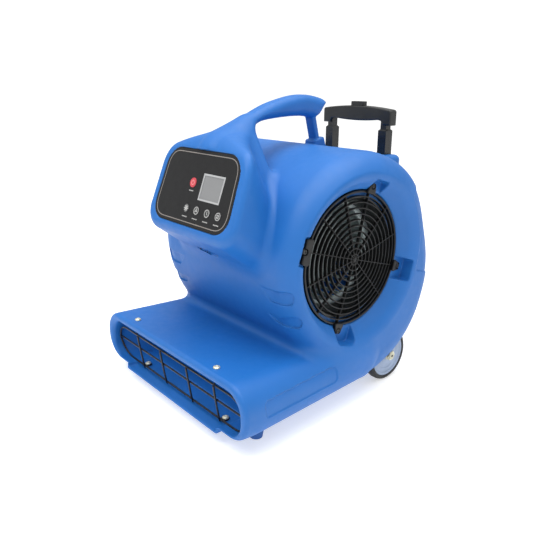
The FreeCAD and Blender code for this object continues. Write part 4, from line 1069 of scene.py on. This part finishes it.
V, F = flat_strokes([fascia_outline(5.3, 25.0)], 1.15, -0.05, 0.14, closed=(0,))
finish_piece(new_object("fascia_border_line", V, F, smooth=False), "chassis", "display_grey", "line")

PWR, KEYS = (-8.8, 8.1), [(-8.7, -30.4), (16.9, -30.4), (42.8, -30.4), (68.6, -30.4)]


def circle(c, r, n=28, a0=0.0, a1=360.0):
    return [(c[0] + r * math.cos(math.radians(a0 + (a1 - a0) * k / n)), c[1] + r * math.sin(math.radians(a0 + (a1 - a0) * k / n)))
            for k in range(n if a1 - a0 >= 360 else n + 1)]


def seg(c, a, r0, r1):
    ca, sa = math.cos(math.radians(a)), math.sin(math.radians(a))
    return [(c[0] + r0 * ca, c[1] + r0 * sa), (c[0] + r1 * ca, c[1] + r1 * sa)]


holes = [[(12.0, -15.0), (62.6, -15.0), (62.6, 24.4), (12.0, 24.4)], circle(PWR, 7.45, 40)] + [circle(k, 6.65, 40) for k in KEYS]
V, F = pierced_plate(fascia_outline(0.0, 30.0), holes, -3.0, 0.0)
finish_piece(new_object("fascia_film", V, F, flat_angle=30.0), "chassis", "fascia_black", "fascia", "control_fascia")

KT = 0.72
V, F = flat_strokes([circle(PWR, 3.3, 20, 120.0, 420.0), [(PWR[0], PWR[1] + 1.0), (PWR[0], PWR[1] + 4.2)]], 0.95, KT - 0.1, KT + 0.12)
finish_piece(new_object("power_symbol", V, F, smooth=False), "key_power", "display_grey", "pale")
icons = []
# four generic function symbols: air, fan, clock, sockets
c = KEYS[0]
L = [circle(c, 1.3, 14)] + [seg(c, a, 2.2, 5.2) for a in range(0, 360, 45)]
icons.append(join([flat_strokes(L, 1.5, KT - 0.1, KT + 0.12, closed=(0,))]))
c = KEYS[1]
L = [circle(c, 5.2, 28), circle(c, 1.1, 12)] + [seg(c, a, 1.4, 3.6) for a in (90, 210, 330)]
icons.append(join([flat_strokes(L, 1.1, KT - 0.1, KT + 0.12, closed=(0, 1))]))
c = KEYS[2]
L = [circle(c, 5.2, 28), [(c[0], c[1] + 3.2), (c[0], c[1] - 0.4), (c[0] + 2.2, c[1] - 1.8)]]
icons.append(join([flat_strokes(L, 1.1, KT - 0.1, KT + 0.12, closed=(0,))]))
c = KEYS[3]
L = [circle(c, 5.2, 28)] + [circle((c[0] + 2.1 * math.cos(math.radians(a)), c[1] + 2.1 * math.sin(math.radians(a))), 0.75, 10)
                            for a in (45, 135, 225, 315)]
icons.append(join([flat_strokes(L, 1.0, KT - 0.1, KT + 0.12, closed=(0, 1, 2, 3, 4))]))
for i, (V, F) in enumerate(icons):
    finish_piece(new_object("key_symbol_%d" % (i + 1), V, F, smooth=False), "key_%d" % (i + 1), "display_grey", "print")
# plain dashes where the captions stand
parts = []
for (u, v), w in [(PWR, 11.0)] + [(k, 12.5) for k in KEYS]:
    base = v - (12.0 if (u, v) == PWR else 12.3)
    for k in range(4):
        a = u - w / 2 + w * (k + 0.12) / 4
        b = u - w / 2 + w * (k + 0.82) / 4
        parts.append(flat_strokes([[(a, base), (b, base)]], 1.5, -0.05, 0.12))
V, F = join(parts)
finish_piece(new_object("caption_dashes", V, F, smooth=False), "chassis", "display_grey", "print")

# ---------------------------------------------------------------- bevel helper for the imported parts, not called in this script
def soften(name, width, angle=35.0, segments=2):
    o = NODES[name]
    m = o.modifiers.new("edge", "BEVEL")
    m.width = width / 1000.0
    m.segments = segments
    m.limit_method = "ANGLE"
    m.angle_limit = math.radians(angle)
    m.harden_normals = False


# ---------------------------------------------------------------- stage, light and camera
me = bpy.data.meshes.new("floor")
S = 40.0
me.from_pydata([(-S, -S, 0), (S, -S, 0), (S, S, 0), (-S, S, 0)], [], [(0, 1, 2, 3)])
floor = bpy.data.objects.new("floor", me)
bpy.context.scene.collection.objects.link(floor)
floor.data.materials.append(material("floor_paper", (0.70, 0.70, 0.70, 1.0), rough=0.9, vary=0.004, bump=0.0, spec=0.1))
fb = [n for n in floor.data.materials[0].node_tree.nodes if n.type == "BSDF_PRINCIPLED"][0]
fb.inputs["Emission Color"].default_value = (1, 1, 1, 1)
fb.inputs["Emission Strength"].default_value = 0.52

world = bpy.data.worlds.new("studio")
bpy.context.scene.world = world
world.use_nodes = True
wn, wl = world.node_tree.nodes, world.node_tree.links
wn.clear()
wo = wn.new("ShaderNodeOutputWorld")
bg = wn.new("ShaderNodeBackground")
tc = wn.new("ShaderNodeTexCoord")
sp = wn.new("ShaderNodeSeparateXYZ")
wl.new(tc.outputs["Generated"], sp.inputs[0])
# soft sky: brighter overhead than at the horizon, plain white where the camera looks straight at it
mr = wn.new("ShaderNodeMapRange")
mr.inputs["From Min"].default_value, mr.inputs["From Max"].default_value = 0.0, 1.0
mr.inputs["To Min"].default_value, mr.inputs["To Max"].default_value = 0.42, 1.0
wl.new(sp.outputs["Z"], mr.inputs["Value"])
lp = wn.new("ShaderNodeLightPath")
mx = wn.new("ShaderNodeMix")
mx.data_type = "FLOAT"
wl.new(lp.outputs["Is Camera Ray"], mx.inputs[0])
wl.new(mr.outputs[0], mx.inputs[2])
mx.inputs[3].default_value = 1.1
bg.inputs["Color"].default_value = (1, 1, 1, 1)
wl.new(mx.outputs[0], bg.inputs["Strength"])
wl.new(bg.outputs[0], wo.inputs[0])


def area(name, loc, target, size, power, col=(1, 1, 1)):
    d = bpy.data.lights.new(name, "AREA")
    d.shape = "RECTANGLE"
    d.size, d.size_y = size
    d.energy = power
    d.color = col
    o = bpy.data.objects.new(name, d)
    bpy.context.scene.collection.objects.link(o)
    o.location = loc
    o.rotation_euler = (Vector(target) - Vector(loc)).to_track_quat("-Z", "Y").to_euler()
    return o


area("key_softbox", (-0.3, -1.3, 2.3), (0.0, 0.0, 0.2), (1.6, 1.6), 26.0)
area("top_softbox", (0.2, 0.3, 2.5), (0.0, 0.0, 0.3), (2.0, 2.0), 40.0)
area("side_fill", (2.2, -0.1, 1.4), (0.0, 0.0, 0.2), (1.4, 1.4), 2.4)
# bounce light behind the inlet slats
for gx in (0.150, -0.150):
    gy, gz = (INLET_C[0] + SHIFT_Y) / 1000.0, INLET_C[1] / 1000.0
    glow = area("inlet_bounce_%d" % (gx < 0), (gx, gy, gz), (0.0, gy, gz), (0.15, 0.15), 0.018)
    glow.visible_camera = False
# and light scattered down into the outlet
glow = area("outlet_bounce", (0.0, (-250.0 + SHIFT_Y) / 1000.0, 0.086), (0.0, (-190.0 + SHIFT_Y) / 1000.0, 0.025), (0.32, 0.03), 0.07)
glow.visible_camera = False

AZ, PT = math.radians(48.88), math.radians(18.14)
cd = bpy.data.cameras.new("camera")
cd.sensor_width = 36.0
cd.lens = 567.4 / 533.0 * 36.0
cam = bpy.data.objects.new("camera", cd)
bpy.context.scene.collection.objects.link(cam)
cam.location = (0.6836, (-678.6 + SHIFT_Y) / 1000.0, 0.4847)
view = Vector((-math.sin(AZ) * math.cos(PT), math.cos(AZ) * math.cos(PT), -math.sin(PT)))
cam.rotation_euler = view.to_track_quat("-Z", "Y").to_euler()
bpy.context.scene.camera = cam
bpy.context.scene.view_settings.view_transform = "Standard"
